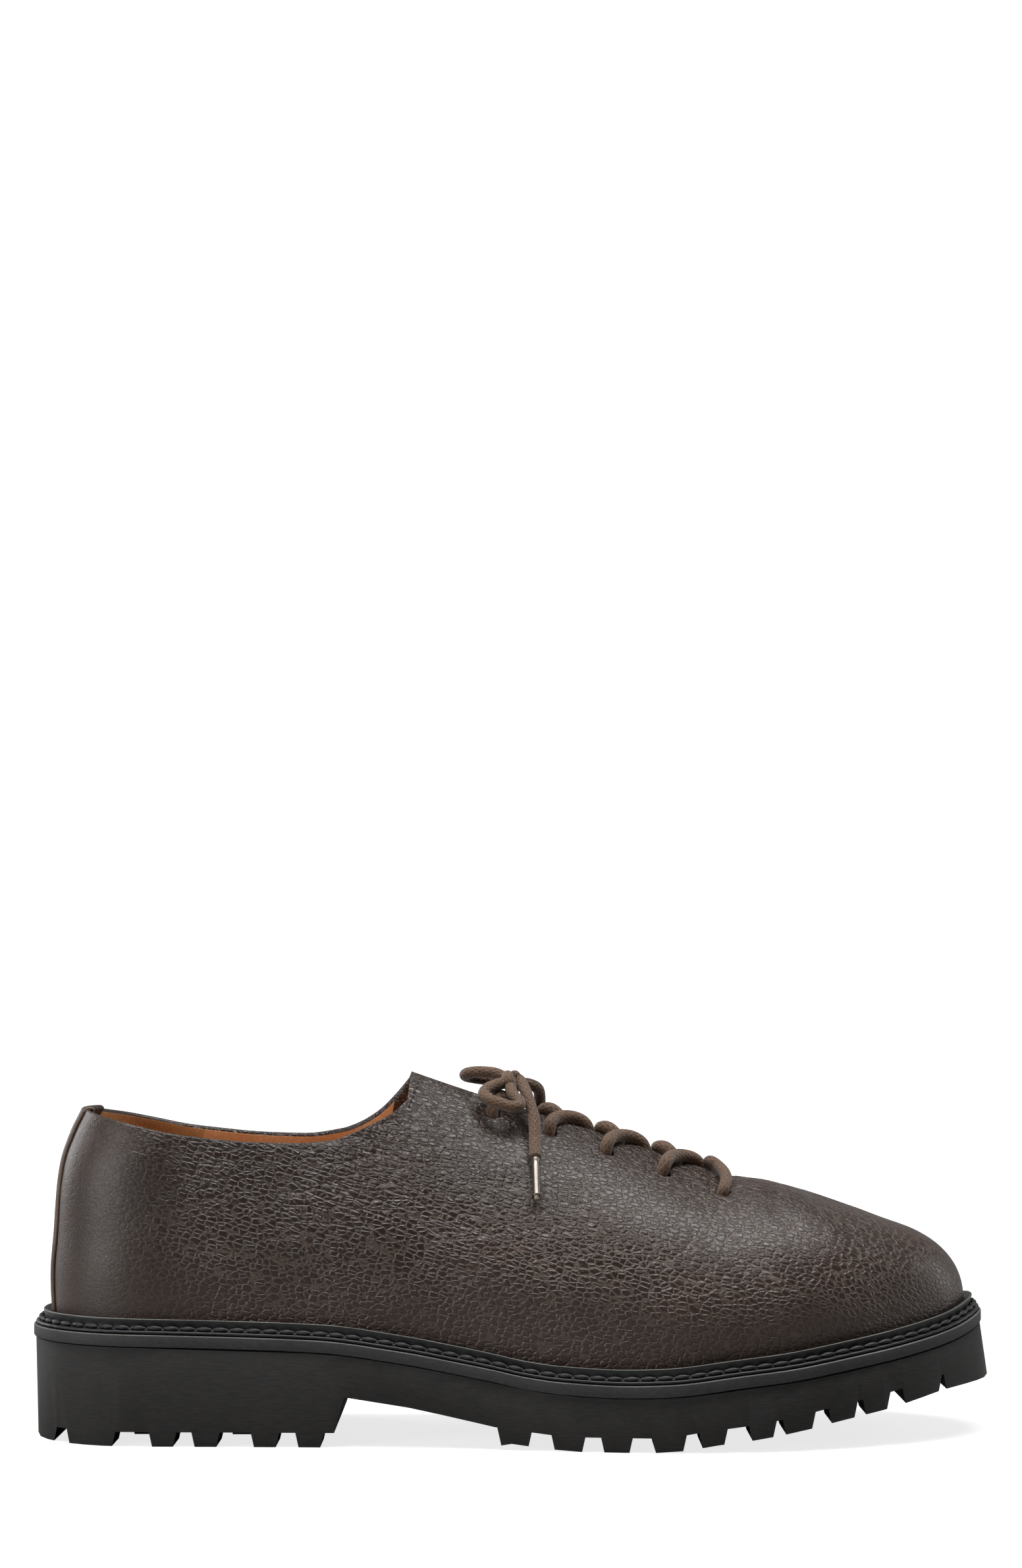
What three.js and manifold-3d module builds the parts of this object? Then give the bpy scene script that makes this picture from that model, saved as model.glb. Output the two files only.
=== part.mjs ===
// Right wholecut shoe with five pairs of eyelets, a raised storm welt and a lugged rubber sole.
// Millimetres. X runs from heel to toe, the outer side of the foot is -Y, Z is up.
// The origin is the middle of the sole's length, on the floor.
import * as THREE from 'three';
import { mergeVertices } from 'three/addons/utils/BufferGeometryUtils.js';
import Module from 'manifold-3d';

const wasm = await Module();
wasm.setup();

// Sole
const soleLength = 308.2;
const ballWidth = 104;
const heelHeight = 35.4;
const bandThick = 3.8;
const lugDepth = 4.5;
const lugFlank = 1;
const rubberInset = 0.5;
const toeLean = 2.1;
const heelDraft = 0.8;
const archRise = 15.6;
const breastAt = 98.6;
const breastRun = 3.1;
const treadEnd = 148.5;
const studArm = 19;
const studWidth = 6.5;

// Welt
const flangeInset = 0.8;
const flangeThick = 1.3;
const lipInset = 2.9;
const lipHeight = 4.7;
const lipThick = 1.6;

// Upper, insole and tongue
const upperInset = 5.5;
const wall = 1.9;
const instepHeight = 116.4;
const collarBack = 105.3;
const collarLow = 94.4;
const facingAt = 121.4;
const throatAt = 226;
const slitWide = 3.6;
const slitNarrow = 1.6;
const insoleThick = 2.8;
const tongueThick = 1.6;
const tongueLap = 6;
const stripThick = 1.1;
const stripTop = 26;
const stripFoot = 20;

// Lacing
const eyeletPairs = 5;
const firstEyelet = 148;
const eyeletPitch = 18.2;
const eyeletDrop = 6.2;
const eyeletBore = 4.4;
const laceThick = 3.8;
const tipThick = 2.9;

// Distance kept between two pieces that meet
const fit = 0.3;

// Plan of the sole, as shares of its length and of the ball width, on each side of the middle line
const planRows = [
  { at: 0, outer: 0.345, inner: 0.345, middle: -0.017 },
  { at: 0.13, outer: 0.35, inner: 0.35, middle: -0.017 },
  { at: 0.28, outer: 0.362, inner: 0.345, middle: -0.017 },
  { at: 0.42, outer: 0.382, inner: 0.325, middle: -0.017 },
  { at: 0.5, outer: 0.42, inner: 0.362, middle: -0.017 },
  { at: 0.6, outer: 0.465, inner: 0.435, middle: -0.015 },
  { at: 0.68, outer: 0.485, inner: 0.482, middle: -0.009 },
  { at: 0.76, outer: 0.482, inner: 0.492, middle: 0.005 },
  { at: 0.86, outer: 0.462, inner: 0.468, middle: 0.028 },
  { at: 1, outer: 0.43, inner: 0.44, middle: 0.055 },
];
const heelRound = { reach: 0.125, power: 2.15 };
const toeRound = { reach: 0.27, power: 2.12 };

// Height of the band's top edge over the floor, as a share of the heel height
const bandRows = [
  { at: 0, rise: 1 },
  { at: 0.18, rise: 0.972 },
  { at: 0.3, rise: 0.938 },
  { at: 0.388, rise: 0.842 },
  { at: 0.436, rise: 0.768 },
  { at: 0.479, rise: 0.7 },
  { at: 0.515, rise: 0.638 },
  { at: 0.55, rise: 0.602 },
  { at: 0.612, rise: 0.579 },
  { at: 0.655, rise: 0.59 },
  { at: 0.733, rise: 0.669 },
  { at: 0.782, rise: 0.718 },
  { at: 0.837, rise: 0.794 },
  { at: 0.899, rise: 0.884 },
  { at: 0.954, rise: 0.986 },
  { at: 1, rise: 1.125 },
];

// Line that the lugs stand on, over the floor, as a share of the heel height: flat under the ball
const treadRows = [
  { at: 0.484, rise: 0.07 },
  { at: 0.515, rise: 0.037 },
  { at: 0.56, rise: 0 },
  { at: 0.64, rise: 0 },
  { at: 0.665, rise: 0.017 },
  { at: 0.689, rise: 0.054 },
  { at: 0.743, rise: 0.115 },
  { at: 0.79, rise: 0.19 },
  { at: 0.83, rise: 0.264 },
  { at: 0.866, rise: 0.32 },
  { at: 0.9, rise: 0.385 },
  { at: 0.934, rise: 0.455 },
  { at: 0.972, rise: 0.49 },
  { at: 1, rise: 0.503 },
];

// Edge lugs, from and to as shares of the sole's length
const lugRows = [
  { from: -0.02, to: 0.031 },
  { from: 0.049, to: 0.095 },
  { from: 0.136, to: 0.157 },
  { from: 0.179, to: 0.201 },
  { from: 0.239, to: 0.261 },
  { from: 0.284, to: 0.306 },
  { from: 0.488, to: 0.516 },
  { from: 0.542, to: 0.569 },
  { from: 0.591, to: 0.616 },
  { from: 0.642, to: 0.669 },
  { from: 0.688, to: 0.71 },
  { from: 0.738, to: 0.759 },
  { from: 0.7716, to: 0.7985 },
  { from: 0.8186, to: 0.8426 },
  { from: 0.8546, to: 0.8773 },
  { from: 0.8965, to: 0.9341 },
  { from: 0.9426, to: 1.05 },
];
const lugReach = 0.5;
const studSpots = [0.118, 0.22, 0.555, 0.63, 0.703, 0.776, 0.845];

// Sections of the upper along the shoe: ridge height as a share of the instep height, the height of the
// widest place and two powers that make the section's top pointed (large) or round (one)
const sectionRows = [
  { at: 0, ridge: 1.31, widest: 0.2, across: 0.95, up: 1 },
  { at: 0.13, ridge: 1.235, widest: 0.22, across: 1.05, up: 1 },
  { at: 0.27, ridge: 1.115, widest: 0.27, across: 1.3, up: 1 },
  { at: 0.395, ridge: 1, widest: 0.29, across: 1.75, up: 1 },
  { at: 0.458, ridge: 0.944, widest: 0.28, across: 1.8, up: 1 },
  { at: 0.528, ridge: 0.884, widest: 0.27, across: 1.75, up: 1 },
  { at: 0.589, ridge: 0.833, widest: 0.26, across: 1.7, up: 1 },
  { at: 0.642, ridge: 0.786, widest: 0.25, across: 1.65, up: 1 },
  { at: 0.697, ridge: 0.737, widest: 0.24, across: 1.55, up: 1 },
  { at: 0.734, ridge: 0.707, widest: 0.23, across: 1.4, up: 1 },
  { at: 0.803, ridge: 0.674, widest: 0.22, across: 1.12, up: 0.98 },
  { at: 0.872, ridge: 0.617, widest: 0.22, across: 0.96, up: 0.95 },
  { at: 0.934, ridge: 0.56, widest: 0.22, across: 0.9, up: 0.92 },
  { at: 1, ridge: 0.53, widest: 0.22, across: 0.88, up: 0.92 },
];
const vampEnd = { reach: 0.082, power: 2.6 };
const footTuck = 0.035;

// Back curve of the heel: how far it stands forward of its lowest point, as a share of the collar's height
const backRows = [
  { at: 0.3, set: 0.015 },
  { at: 0.48, set: 0.006 },
  { at: 0.62, set: 0.016 },
  { at: 0.75, set: 0.025 },
  { at: 0.83, set: 0.037 },
  { at: 0.92, set: 0.068 },
  { at: 1, set: 0.107 },
  { at: 1.4, set: 0.27 },
];
const backFade = 0.37;

// Collar line from the back to the facing's corner: share of the sole's length, and height over the
// collar's lowest place as a share of the collar's height at the back. The inner side is a little higher.
const collarRows = [
  { at: -0.05, outer: 0.103, inner: 0.103 },
  { at: 0.049, outer: 0.103, inner: 0.103 },
  { at: 0.062, outer: 0.089, inner: 0.089 },
  { at: 0.084, outer: 0.072, inner: 0.076 },
  { at: 0.115, outer: 0.05, inner: 0.056 },
  { at: 0.146, outer: 0.03, inner: 0.037 },
  { at: 0.175, outer: 0.018, inner: 0.026 },
  { at: 0.232, outer: 0.003, inner: 0.011 },
  { at: 0.275, outer: 0, inner: 0.008 },
  { at: 0.316, outer: 0.009, inner: 0.025 },
  { at: 0.335, outer: 0.029, inner: 0.045 },
  { at: 0.357, outer: 0.058, inner: 0.085 },
  { at: 0.379, outer: 0.095, inner: 0.149 },
  { at: 0.391, outer: 0.13, inner: 0.192 },
];

const halfLength = soleLength / 2;
const bandLength = soleLength - toeLean;
const bandEnd = bandLength / soleLength;
const laceRadius = laceThick / 2;

// Smooth curve through a table's rows that never swings past them
function through(rows, column) {
  const at = rows.map((row) => row.at);
  const value = rows.map((row) => row[column]);
  const last = at.length - 1;
  const step = value.slice(1).map((v, i) => (v - value[i]) / (at[i + 1] - at[i]));
  const slope = value.map((v, i) => {
    if (i === 0) return step[0];
    if (i === last) return step[last - 1];
    const product = step[i - 1] * step[i];
    return product > 0 ? (2 * product) / (step[i - 1] + step[i]) : 0;
  });
  return (t) => {
    if (t <= at[0]) return value[0] + slope[0] * (t - at[0]);
    if (t >= at[last]) return value[last] + slope[last] * (t - at[last]);
    const i = at.findIndex((a, k) => k < last && t < at[k + 1]);
    const run = at[i + 1] - at[i];
    const u = (t - at[i]) / run;
    const rise = value[i + 1] - value[i];
    const a = slope[i] * run - rise;
    const b = rise - slope[i + 1] * run;
    return value[i] + u * rise + u * (1 - u) * (a * (1 - u) + b * u);
  };
}

const toeTipRise = treadRows[treadRows.length - 1].rise;
const outerHalf = through(planRows, 'outer');
const innerHalf = through(planRows, 'inner');
const middleLine = through(planRows, 'middle');
const bandShare = through(bandRows, 'rise');
const treadShare = through(treadRows, 'rise');
const ridgeShare = through(sectionRows, 'ridge');
const widestShare = through(sectionRows, 'widest');
const acrossPower = through(sectionRows, 'across');
const upPower = through(sectionRows, 'up');
const backShare = through(backRows, 'set');

const bandTop = (share) => heelHeight * bandShare(share);

// Rounding of an end: nought at the end, one from its reach on
function rounding(distance, end) {
  const t = Math.max(0, 1 - distance / end.reach);
  return Math.pow(Math.max(0, 1 - Math.pow(t, end.power)), 1 / end.power);
}

// Half width of the plan at a share of the length, set in from the band's edge; side is -1 or 1
function planHalf(share, side, inset) {
  const half = ballWidth * (side < 0 ? outerHalf(share) : innerHalf(share)) - inset;
  return half * rounding(share, heelRound) * rounding(bandEnd - share, toeRound);
}

// Place across the shoe of the plan's edge, on one side
function planEdge(share, side, inset) {
  return middleLine(share) * ballWidth + side * planHalf(share, side, inset);
}

// Place along the shoe of a share of the length, set in at both ends
const along = (share, inset) => inset + (share / bandEnd) * (bandLength - 2 * inset) - halfLength;

// Shares of the length that crowd together at both ends
function stations(count) {
  const tip = 0.0006;
  const shares = [];
  for (let i = 0; i <= count; i++) {
    const t = (1 - Math.cos((Math.PI * i) / count)) / 2;
    const even = i / count;
    shares.push(bandEnd * THREE.MathUtils.clamp(0.72 * t + 0.28 * even, tip, 1 - tip));
  }
  return shares;
}

// Closed solid from a positions list and triangles, turned so that its faces point out
function solidFrom(points, triangles) {
  let volume = 0;
  for (const [a, b, c] of triangles) {
    volume += points[a].dot(new THREE.Vector3().crossVectors(points[b], points[c]));
  }
  const faces = volume < 0 ? triangles.map(([a, b, c]) => [a, c, b]) : triangles;
  const vertProperties = new Float32Array(points.flatMap((p) => [p.x, p.y, p.z]));
  return new wasm.Manifold(new wasm.Mesh({ numProp: 3, vertProperties, triVerts: new Uint32Array(faces.flat()) }));
}

// Solid through a row of rings, each with the same number of points; open rows get flat ends
function loft(rings, closed = false) {
  const count = rings[0].length;
  const points = rings.flat();
  const triangles = [];
  const joins = closed ? rings.length : rings.length - 1;
  for (let i = 0; i < joins; i++) {
    const here = i * count;
    const next = ((i + 1) % rings.length) * count;
    for (let j = 0; j < count; j++) {
      const k = (j + 1) % count;
      triangles.push([here + j, here + k, next + k], [here + j, next + k, next + j]);
    }
  }
  if (!closed) {
    const far = (rings.length - 1) * count;
    let a = 0;
    let b = count - 1;
    while (b - a > 1) {
      triangles.push([a, b, a + 1], [far + a, far + a + 1, far + b]);
      a += 1;
      if (b - a < 2) break;
      triangles.push([a, b, b - 1], [far + a, far + b - 1, far + b]);
      b -= 1;
    }
  }
  return solidFrom(points, triangles);
}

// Solid from one of the three.js geometries
function solidOf(geometry) {
  const bare = geometry.clone();
  bare.deleteAttribute('normal');
  bare.deleteAttribute('uv');
  const merged = mergeVertices(bare, 1e-4);
  return new wasm.Manifold(new wasm.Mesh({
    numProp: 3,
    vertProperties: new Float32Array(merged.attributes.position.array),
    triVerts: new Uint32Array(merged.index.array),
  }));
}

// Outline in the side view, carried across the shoe between two places
function across(outline, from, to) {
  const shape = new THREE.Shape(outline.map(([x, z]) => new THREE.Vector2(x, z)));
  const geometry = new THREE.ExtrudeGeometry(shape, { depth: to - from, bevelEnabled: false });
  geometry.rotateX(Math.PI / 2);
  geometry.translate(0, to, 0);
  return solidOf(geometry);
}

// Outline in the back view, carried along the shoe between two places
function lengthwise(outline, from, to) {
  const shape = new THREE.Shape(outline.map(([y, z]) => new THREE.Vector2(y, z)));
  const geometry = new THREE.ExtrudeGeometry(shape, { depth: to - from, bevelEnabled: false });
  geometry.rotateX(Math.PI / 2);
  geometry.rotateZ(Math.PI / 2);
  geometry.translate(from, 0, 0);
  return solidOf(geometry);
}

// Round cord along a curve through the given points
function cord(points, thick, steps, sides = 8) {
  const path = new THREE.CatmullRomCurve3(points, false, 'centripetal');
  const round = new THREE.Shape();
  for (let i = 0; i < sides; i++) {
    const turn = (2 * Math.PI * i) / sides;
    const x = (thick / 2) * Math.cos(turn);
    const y = (thick / 2) * Math.sin(turn);
    if (i === 0) round.moveTo(x, y);
    else round.lineTo(x, y);
  }
  return solidOf(new THREE.ExtrudeGeometry(round, { steps, extrudePath: path, bevelEnabled: false }));
}

const vector = (x, y, z) => new THREE.Vector3(x, y, z);

// Point of the upper's surface. Share runs from heel to toe, turn from 0 at the foot of the wall to 1 at
// the ridge, side is -1 or 1, and grow moves the surface outwards. Drop lowers the foot.
function upperPoint(share, turn, side, grow, drop = 0) {
  const inset = upperInset - grow;
  const low = bandTop(share) + fit;
  const full = instepHeight * ridgeShare(share);
  const base = bandTop(share);
  const ends = rounding(bandEnd - share, vampEnd);
  const top = base + (full - base) * ends + grow;
  const widest = base + (top - base) * widestShare(share);
  const half = planHalf(share, side, inset);
  const split = 0.16;
  let z;
  let y;
  if (turn < split) {
    const t = turn / split;
    z = low + (widest - low) * t - (turn > 0 ? 0 : drop);
    y = half * (1 - footTuck * (1 - t) * (1 - t));
  } else {
    const angle = ((turn - split) / (1 - split)) * (Math.PI / 2);
    z = widest + (top - widest) * Math.pow(Math.sin(angle), upPower(share));
    y = half * Math.pow(Math.max(0, Math.cos(angle)), acrossPower(share));
  }
  const fade = Math.pow(Math.max(0, 1 - share / backFade), 1.5);
  const x = along(share, inset) + fade * collarBack * backShare(z / collarBack);
  return vector(x, middleLine(share) * ballWidth + side * y, z);
}

// Filled form of the upper, grown or shrunk, that the hollow wall and its neighbours are cut from
function upperForm(grow, drop, count = 32, around = 11) {
  const rings = stations(count).map((share) => {
    const ring = [];
    for (let i = 0; i <= around; i++) ring.push(upperPoint(share, i / around, -1, grow, drop));
    for (let i = around - 1; i >= 0; i--) ring.push(upperPoint(share, i / around, 1, grow, drop));
    return ring;
  });
  return loft(rings);
}

// Turn of the upper's section that lies a given drop below the ridge
function turnBelowRidge(share, drop) {
  const base = bandTop(share);
  const top = instepHeight * ridgeShare(share);
  const widest = base + (top - base) * widestShare(share);
  const angle = Math.asin(1 - drop / (top - widest));
  return 0.16 + (0.84 * angle) / (Math.PI / 2);
}

// Share of the length of the upper for a place measured from the back of the heel
const shareAt = (place) => (bandEnd * (place - upperInset)) / (bandLength - 2 * upperInset);

const eyeletShares = [];
for (let i = 0; i < eyeletPairs; i++) eyeletShares.push(shareAt(firstEyelet + i * eyeletPitch));

// Outward direction of the upper's surface
function upperNormal(share, turn, side) {
  const step = 0.004;
  const alongX = upperPoint(share + step, turn, side, 0).sub(upperPoint(share - step, turn, side, 0));
  const upwards = upperPoint(share, turn + step, side, 0).sub(upperPoint(share, turn - step, side, 0));
  return new THREE.Vector3().crossVectors(alongX, upwards).multiplyScalar(-side).normalize();
}

// Rubber sole body down to a line under it; its toe leans forward and its heel draws in towards the floor
function rubberBody(lineUnder) {
  const shares = stations(40);
  const rings = shares.map((share) => {
    const top = bandTop(share) - bandThick - fit;
    const under = Math.min(lineUnder(share), top - 1);
    const corner = (side, z) => {
      const fall = (heelHeight - z) / heelHeight;
      const forward = (toeLean + rubberInset) * Math.pow(share, 4) * (fall / (1 - toeTipRise));
      const lean = forward + heelDraft * (1 - share) * fall;
      const draft = rubberInset + heelDraft * 0.6 * fall;
      return vector(along(share, rubberInset) + lean, planEdge(share, side, draft), z);
    };
    return [corner(-1, top), corner(1, top), corner(1, under), corner(-1, under)];
  });
  return loft(rings);
}

// Height of the lugs' feet over the floor
function treadLine(share) {
  return share < treadRows[0].at ? 0 : Math.max(0, heelHeight * treadShare(share));
}

// One tapered lug in the side view, wider at its root
function lugOutline(from, to) {
  const x0 = from * soleLength - halfLength;
  const x1 = to * soleLength - halfLength;
  const foot = treadLine((from + to) / 2);
  const slant = lugFlank / lugDepth;
  const deep = foot - lugDepth;
  const high = foot + 3 * lugDepth;
  const narrow = slant * lugDepth;
  const flare = 3 * slant * lugDepth;
  return [[x0 + narrow, deep], [x1 - narrow, deep], [x1 + flare, high], [x0 - flare, high]];
}

// Outsole: a slab with lugs along both edges and cross studs down its middle
function makeOutsole() {
  const archLine = [
    [breastAt + breastRun - halfLength, archRise],
    [0.396 * soleLength - halfLength, 0.8 * archRise],
    [treadEnd - halfLength, 0.45 * archRise],
  ];
  const slabLine = [[-halfLength - 10, lugDepth], [breastAt - halfLength, lugDepth], ...archLine];
  const from = treadEnd / soleLength;
  for (let i = 1; i <= 24; i++) {
    const share = from + ((1.02 - from) * i) / 24;
    slabLine.push([share * soleLength - halfLength, treadLine(share) + lugDepth]);
  }
  const floor = [[halfLength + 10, -5], [-halfLength - 10, -5]];
  const under = across([...slabLine, ...floor], -ballWidth, ballWidth);
  const lugs = [];
  for (const row of lugRows) {
    const middle = THREE.MathUtils.clamp((row.from + row.to) / 2, 0.02, 0.98);
    for (const side of [-1, 1]) {
      const edge = planEdge(middle, side, 0);
      const root = planEdge(middle, side, planHalf(middle, side, 0) * lugReach);
      const atEnd = row.from < 0 || row.to > 0.9;
      const start = atEnd ? -side * 2 : root;
      const stop = edge + side * 20;
      lugs.push(across(lugOutline(row.from, row.to), Math.min(start, stop), Math.max(start, stop)));
    }
  }
  for (const spot of studSpots) {
    const place = (planEdge(spot, 1, 0) + planEdge(spot, -1, 0)) / 2;
    const half = studWidth / 2 / soleLength;
    const arm = studArm / 2 / soleLength;
    lugs.push(across(lugOutline(spot - half, spot + half), place - studArm / 2, place + studArm / 2));
    lugs.push(across(lugOutline(spot - arm, spot + arm), place - studWidth / 2, place + studWidth / 2));
  }
  const cutAway = lugs.reduce((rest, lug) => rest.subtract(lug), under);
  return rubberBody(treadLine).subtract(cutAway);
}

// Flat band between the rubber and the welt
function makeBand() {
  const rings = stations(40).map((share) => {
    const top = bandTop(share);
    const corner = (side, z) => vector(along(share, 0), planEdge(share, side, 0), z);
    return [corner(-1, top), corner(1, top), corner(1, top - bandThick), corner(-1, top - bandThick)];
  });
  return loft(rings);
}

// Storm welt: a flange on the band with a lip that flares out round the foot of the upper
function makeWelt() {
  const inner = upperInset + 3;
  const shares = stations(34);
  const ringAt = (share, side) => {
    const point = (inset, rise) => {
      const edge = planEdge(share, side, inset);
      return vector(along(share, inset), edge, bandTop(share) + rise);
    };
    return [
      point(flangeInset, fit),
      point(flangeInset, flangeThick),
      point(lipInset + 0.8, flangeThick + 0.3),
      point(lipInset, lipHeight - 0.4),
      point(lipInset + 0.5, lipHeight),
      point(lipInset + lipThick, lipHeight - 0.1),
      point(inner, lipHeight - 1.5),
      point(inner, fit),
    ];
  };
  const outerSide = shares.map((share) => ringAt(share, -1));
  const innerSide = shares.map((share) => ringAt(share, 1)).reverse();
  return loft([...outerSide, ...innerSide], true).subtract(upperForm(fit, 6));
}

// Insole inside the upper, on the band
function makeInsole() {
  const grow = -wall - 2 * fit;
  const rings = stations(30).map((share) => {
    const corner = (side, rise) => upperPoint(share, 0, side, grow).add(vector(0, 0, rise));
    return [corner(-1, insoleThick), corner(1, insoleThick), corner(1, 0), corner(-1, 0)];
  });
  return loft(rings);
}

// Region above the collar line on one side of the shoe, behind the facings
function collarSide(column, from, to) {
  const over = through(collarRows, column);
  const outline = [];
  const steps = 26;
  const first = collarRows[0].at;
  const lastRow = collarRows[collarRows.length - 1].at;
  for (let i = 0; i <= steps; i++) {
    const share = first + ((lastRow - first) * i) / steps;
    outline.push([share * soleLength - halfLength, collarLow + collarBack * over(share)]);
  }
  outline.push([facingAt - halfLength, instepHeight + 1]);
  outline.push([facingAt - halfLength, 2 * instepHeight]);
  outline.push([first * soleLength - halfLength, 2 * instepHeight]);
  return across(outline, from, to);
}

// Region above the collar line on both sides
function collarCut() {
  const middle = middleLine(0) * ballWidth;
  return collarSide('outer', -ballWidth, middle + fit).add(collarSide('inner', middle, ballWidth));
}

// Narrow gap between the facings, from the collar to the throat's end
function slitCut() {
  const wide = slitWide / 2;
  const narrow = slitNarrow / 2;
  const from = facingAt - halfLength - 20;
  const to = throatAt - halfLength;
  const shape = new THREE.Shape();
  const middle = middleLine(facingAt / soleLength) * ballWidth;
  const end = middleLine(throatAt / soleLength) * ballWidth;
  shape.moveTo(from, middle - wide);
  shape.lineTo(to - narrow, end - narrow);
  shape.absarc(to - narrow, end, narrow, -Math.PI / 2, Math.PI / 2, false);
  shape.lineTo(from, middle + wide);
  const geometry = new THREE.ExtrudeGeometry(shape, { depth: instepHeight, bevelEnabled: false, curveSegments: 3 });
  geometry.translate(0, 0, heelHeight + insoleThick + 12);
  return solidOf(geometry);
}

// Hole through the facing for one eyelet
function eyeletCut(share, side) {
  const turn = turnBelowRidge(share, eyeletDrop);
  const geometry = new THREE.CylinderGeometry(eyeletBore / 2, eyeletBore / 2, 6 * wall, 12);
  const turned = new THREE.Quaternion().setFromUnitVectors(vector(0, 1, 0), upperNormal(share, turn, side));
  geometry.applyQuaternion(turned);
  const place = upperPoint(share, turn, side, -wall / 2);
  geometry.translate(place.x, place.y, place.z);
  return solidOf(geometry);
}

// Upper: one hollow wall, open at the collar, between the facings and underneath
function makeUpper() {
  const whole = upperForm(0, 0);
  const hollow = upperForm(-wall, 8);
  let upper = whole.subtract(hollow).subtract(collarCut()).subtract(slitCut());
  for (const share of eyeletShares) {
    for (const side of [-1, 1]) upper = upper.subtract(eyeletCut(share, side));
  }
  return upper;
}

// Back strip: cut between two grown forms of the upper, narrow at the welt and wide at the collar
function makeBackStrip() {
  const foot = heelHeight + lipHeight + fit;
  const middle = middleLine(0) * ballWidth;
  const outline = [
    [middle - stripFoot / 2, foot],
    [middle + stripFoot / 2, foot],
    [middle + stripTop / 2, collarBack + 5],
    [middle - stripTop / 2, collarBack + 5],
  ];
  const window = lengthwise(outline, -halfLength - 5, -halfLength + 40);
  const shell = upperForm(fit + stripThick, 0).subtract(upperForm(fit, 8));
  return shell.intersect(window).subtract(collarCut());
}

// Tongue: a sheet under the facings that follows the upper's inner face
function makeTongue() {
  const from = shareAt(facingAt + 1.5);
  const to = shareAt(throatAt + tongueLap);
  const rings = [];
  const steps = 16;
  const around = 5;
  for (let i = 0; i <= steps; i++) {
    const share = from + ((to - from) * i) / steps;
    const edge = turnBelowRidge(share, 3.4 * eyeletDrop);
    const over = [];
    const under = [];
    for (const side of [-1, 1]) {
      for (let j = 0; j <= around; j++) {
        if (side > 0 && j === 0) continue;
        const t = side < 0 ? j / around : 1 - j / around;
        const turn = edge + (1 - edge) * t;
        over.push(upperPoint(share, turn, side, -wall - 1.5 * fit));
        under.push(upperPoint(share, turn, side, -wall - 1.5 * fit - tongueThick));
      }
    }
    rings.push([...over, ...under.reverse()]);
  }
  return loft(rings);
}

// Place of a strand of lace over the upper: forward of an eyelet, a drop below the ridge
function lacePoint(share, forward, drop, side, lift = 0) {
  const here = share + forward / (soleLength - 2 * upperInset);
  const turn = drop > 0 ? turnBelowRidge(here, drop) : 1;
  return upperPoint(here, turn, side, laceRadius + 2 * fit + lift);
}

// One crossing: the near strand rises from its eyelet and runs forward along the ridge; the far one
// leans back, comes over the ridge and dives under it
function makeCrossing(share) {
  const near = cord([
    lacePoint(share, 0, eyeletDrop, -1),
    lacePoint(share, 1, 0.62 * eyeletDrop, -1, 0.3),
    lacePoint(share, 3, 0.22 * eyeletDrop, -1, 0.3),
    lacePoint(share, 6.5, 0.06 * eyeletDrop, -1, 0.2),
    lacePoint(share, 10.5, 0, 1, 0.1),
  ], laceThick, 10);
  const far = cord([
    lacePoint(share, 0, eyeletDrop, 1),
    lacePoint(share, -1.8, 0.55 * eyeletDrop, 1, 0.2),
    lacePoint(share, -2.2, 0.14 * eyeletDrop, 1, 0.2),
    lacePoint(share, 0.6, 0, 1, 0.2),
    lacePoint(share, 4, 0.1 * eyeletDrop, -1, 0),
  ], laceThick, 10);
  return near.add(far);
}

// Lowest strand: a bar from one eyelet to the other that leans back over the ridge
function makeBar(share) {
  return cord([
    lacePoint(share, 0, eyeletDrop, -1),
    lacePoint(share, 0.5, 0.5 * eyeletDrop, -1, 0.3),
    lacePoint(share, -1.5, 0.1 * eyeletDrop, -1, 0.4),
    lacePoint(share, -4, 0, 1, 0.4),
    lacePoint(share, -3.5, 0.4 * eyeletDrop, 1, 0.3),
    lacePoint(share, 0, eyeletDrop, 1),
  ], laceThick, 12);
}

// First pair of strands: they rise from the top eyelets and meet on the ridge, behind the knot
function makeRise(share) {
  const strand = (side) => cord([
    lacePoint(share, 0, eyeletDrop, side),
    lacePoint(share, 0.7, 0.5 * eyeletDrop, side, 0.2),
    lacePoint(share, 1.4, 0.12 * eyeletDrop, side, 0.3),
    lacePoint(share, 1.8, 0.05 * eyeletDrop, -side, 0.3),
  ], laceThick, 6);
  return strand(-1).add(strand(1));
}

// Points chosen along each cord of the bow
const nearLoop = [
  [-3, -5, 112.9], [-6.2, -7.4, 113.1], [-9.6, -9.8, 111.6], [-10.4, -12, 108.4], [-7.4, -14.8, 105.2],
  [-2.4, -16.2, 102.4], [1.6, -15.9, 101.2], [3.8, -14.2, 103], [3.6, -11.4, 106.6], [2.4, -8.6, 109.6],
];
const farLoop = [
  [-2.6, 2.6, 113.6], [-6, 3.6, 115], [-11, 5, 115.4], [-14.7, 7.2, 114.9], [-15.5, 10.4, 114],
  [-12.5, 13, 113.2], [-6.5, 13.2, 112.4], [-1.2, 10.4, 111.6], [1.6, 5.6, 110.9],
];
const nearEnd = [
  [5, -4.6, 111.4], [7.4, -7.6, 109.6], [8.3, -11.4, 105.6], [8.1, -14.8, 100.8], [7.7, -18.4, 95],
  [7.4, -23.4, 89.3],
];
const nearTip = [[7.42, -23.8, 88.8], [7.8, -34.3, 75.8]];
const farEnd = [
  [4.9, 1.2, 111.4], [8.2, 3.6, 109.8], [8.8, 7.2, 105.4], [8.3, 10, 100.4], [7.7, 13, 95], [7.4, 17.6, 89.3],
];
const farTip = [[7.42, 18, 88.8], [7.8, 27, 75.8]];
const knotAt = [0.9, -1.6, 111.6];
const knotSize = [3.1, 4.6, 3.2];

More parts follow.
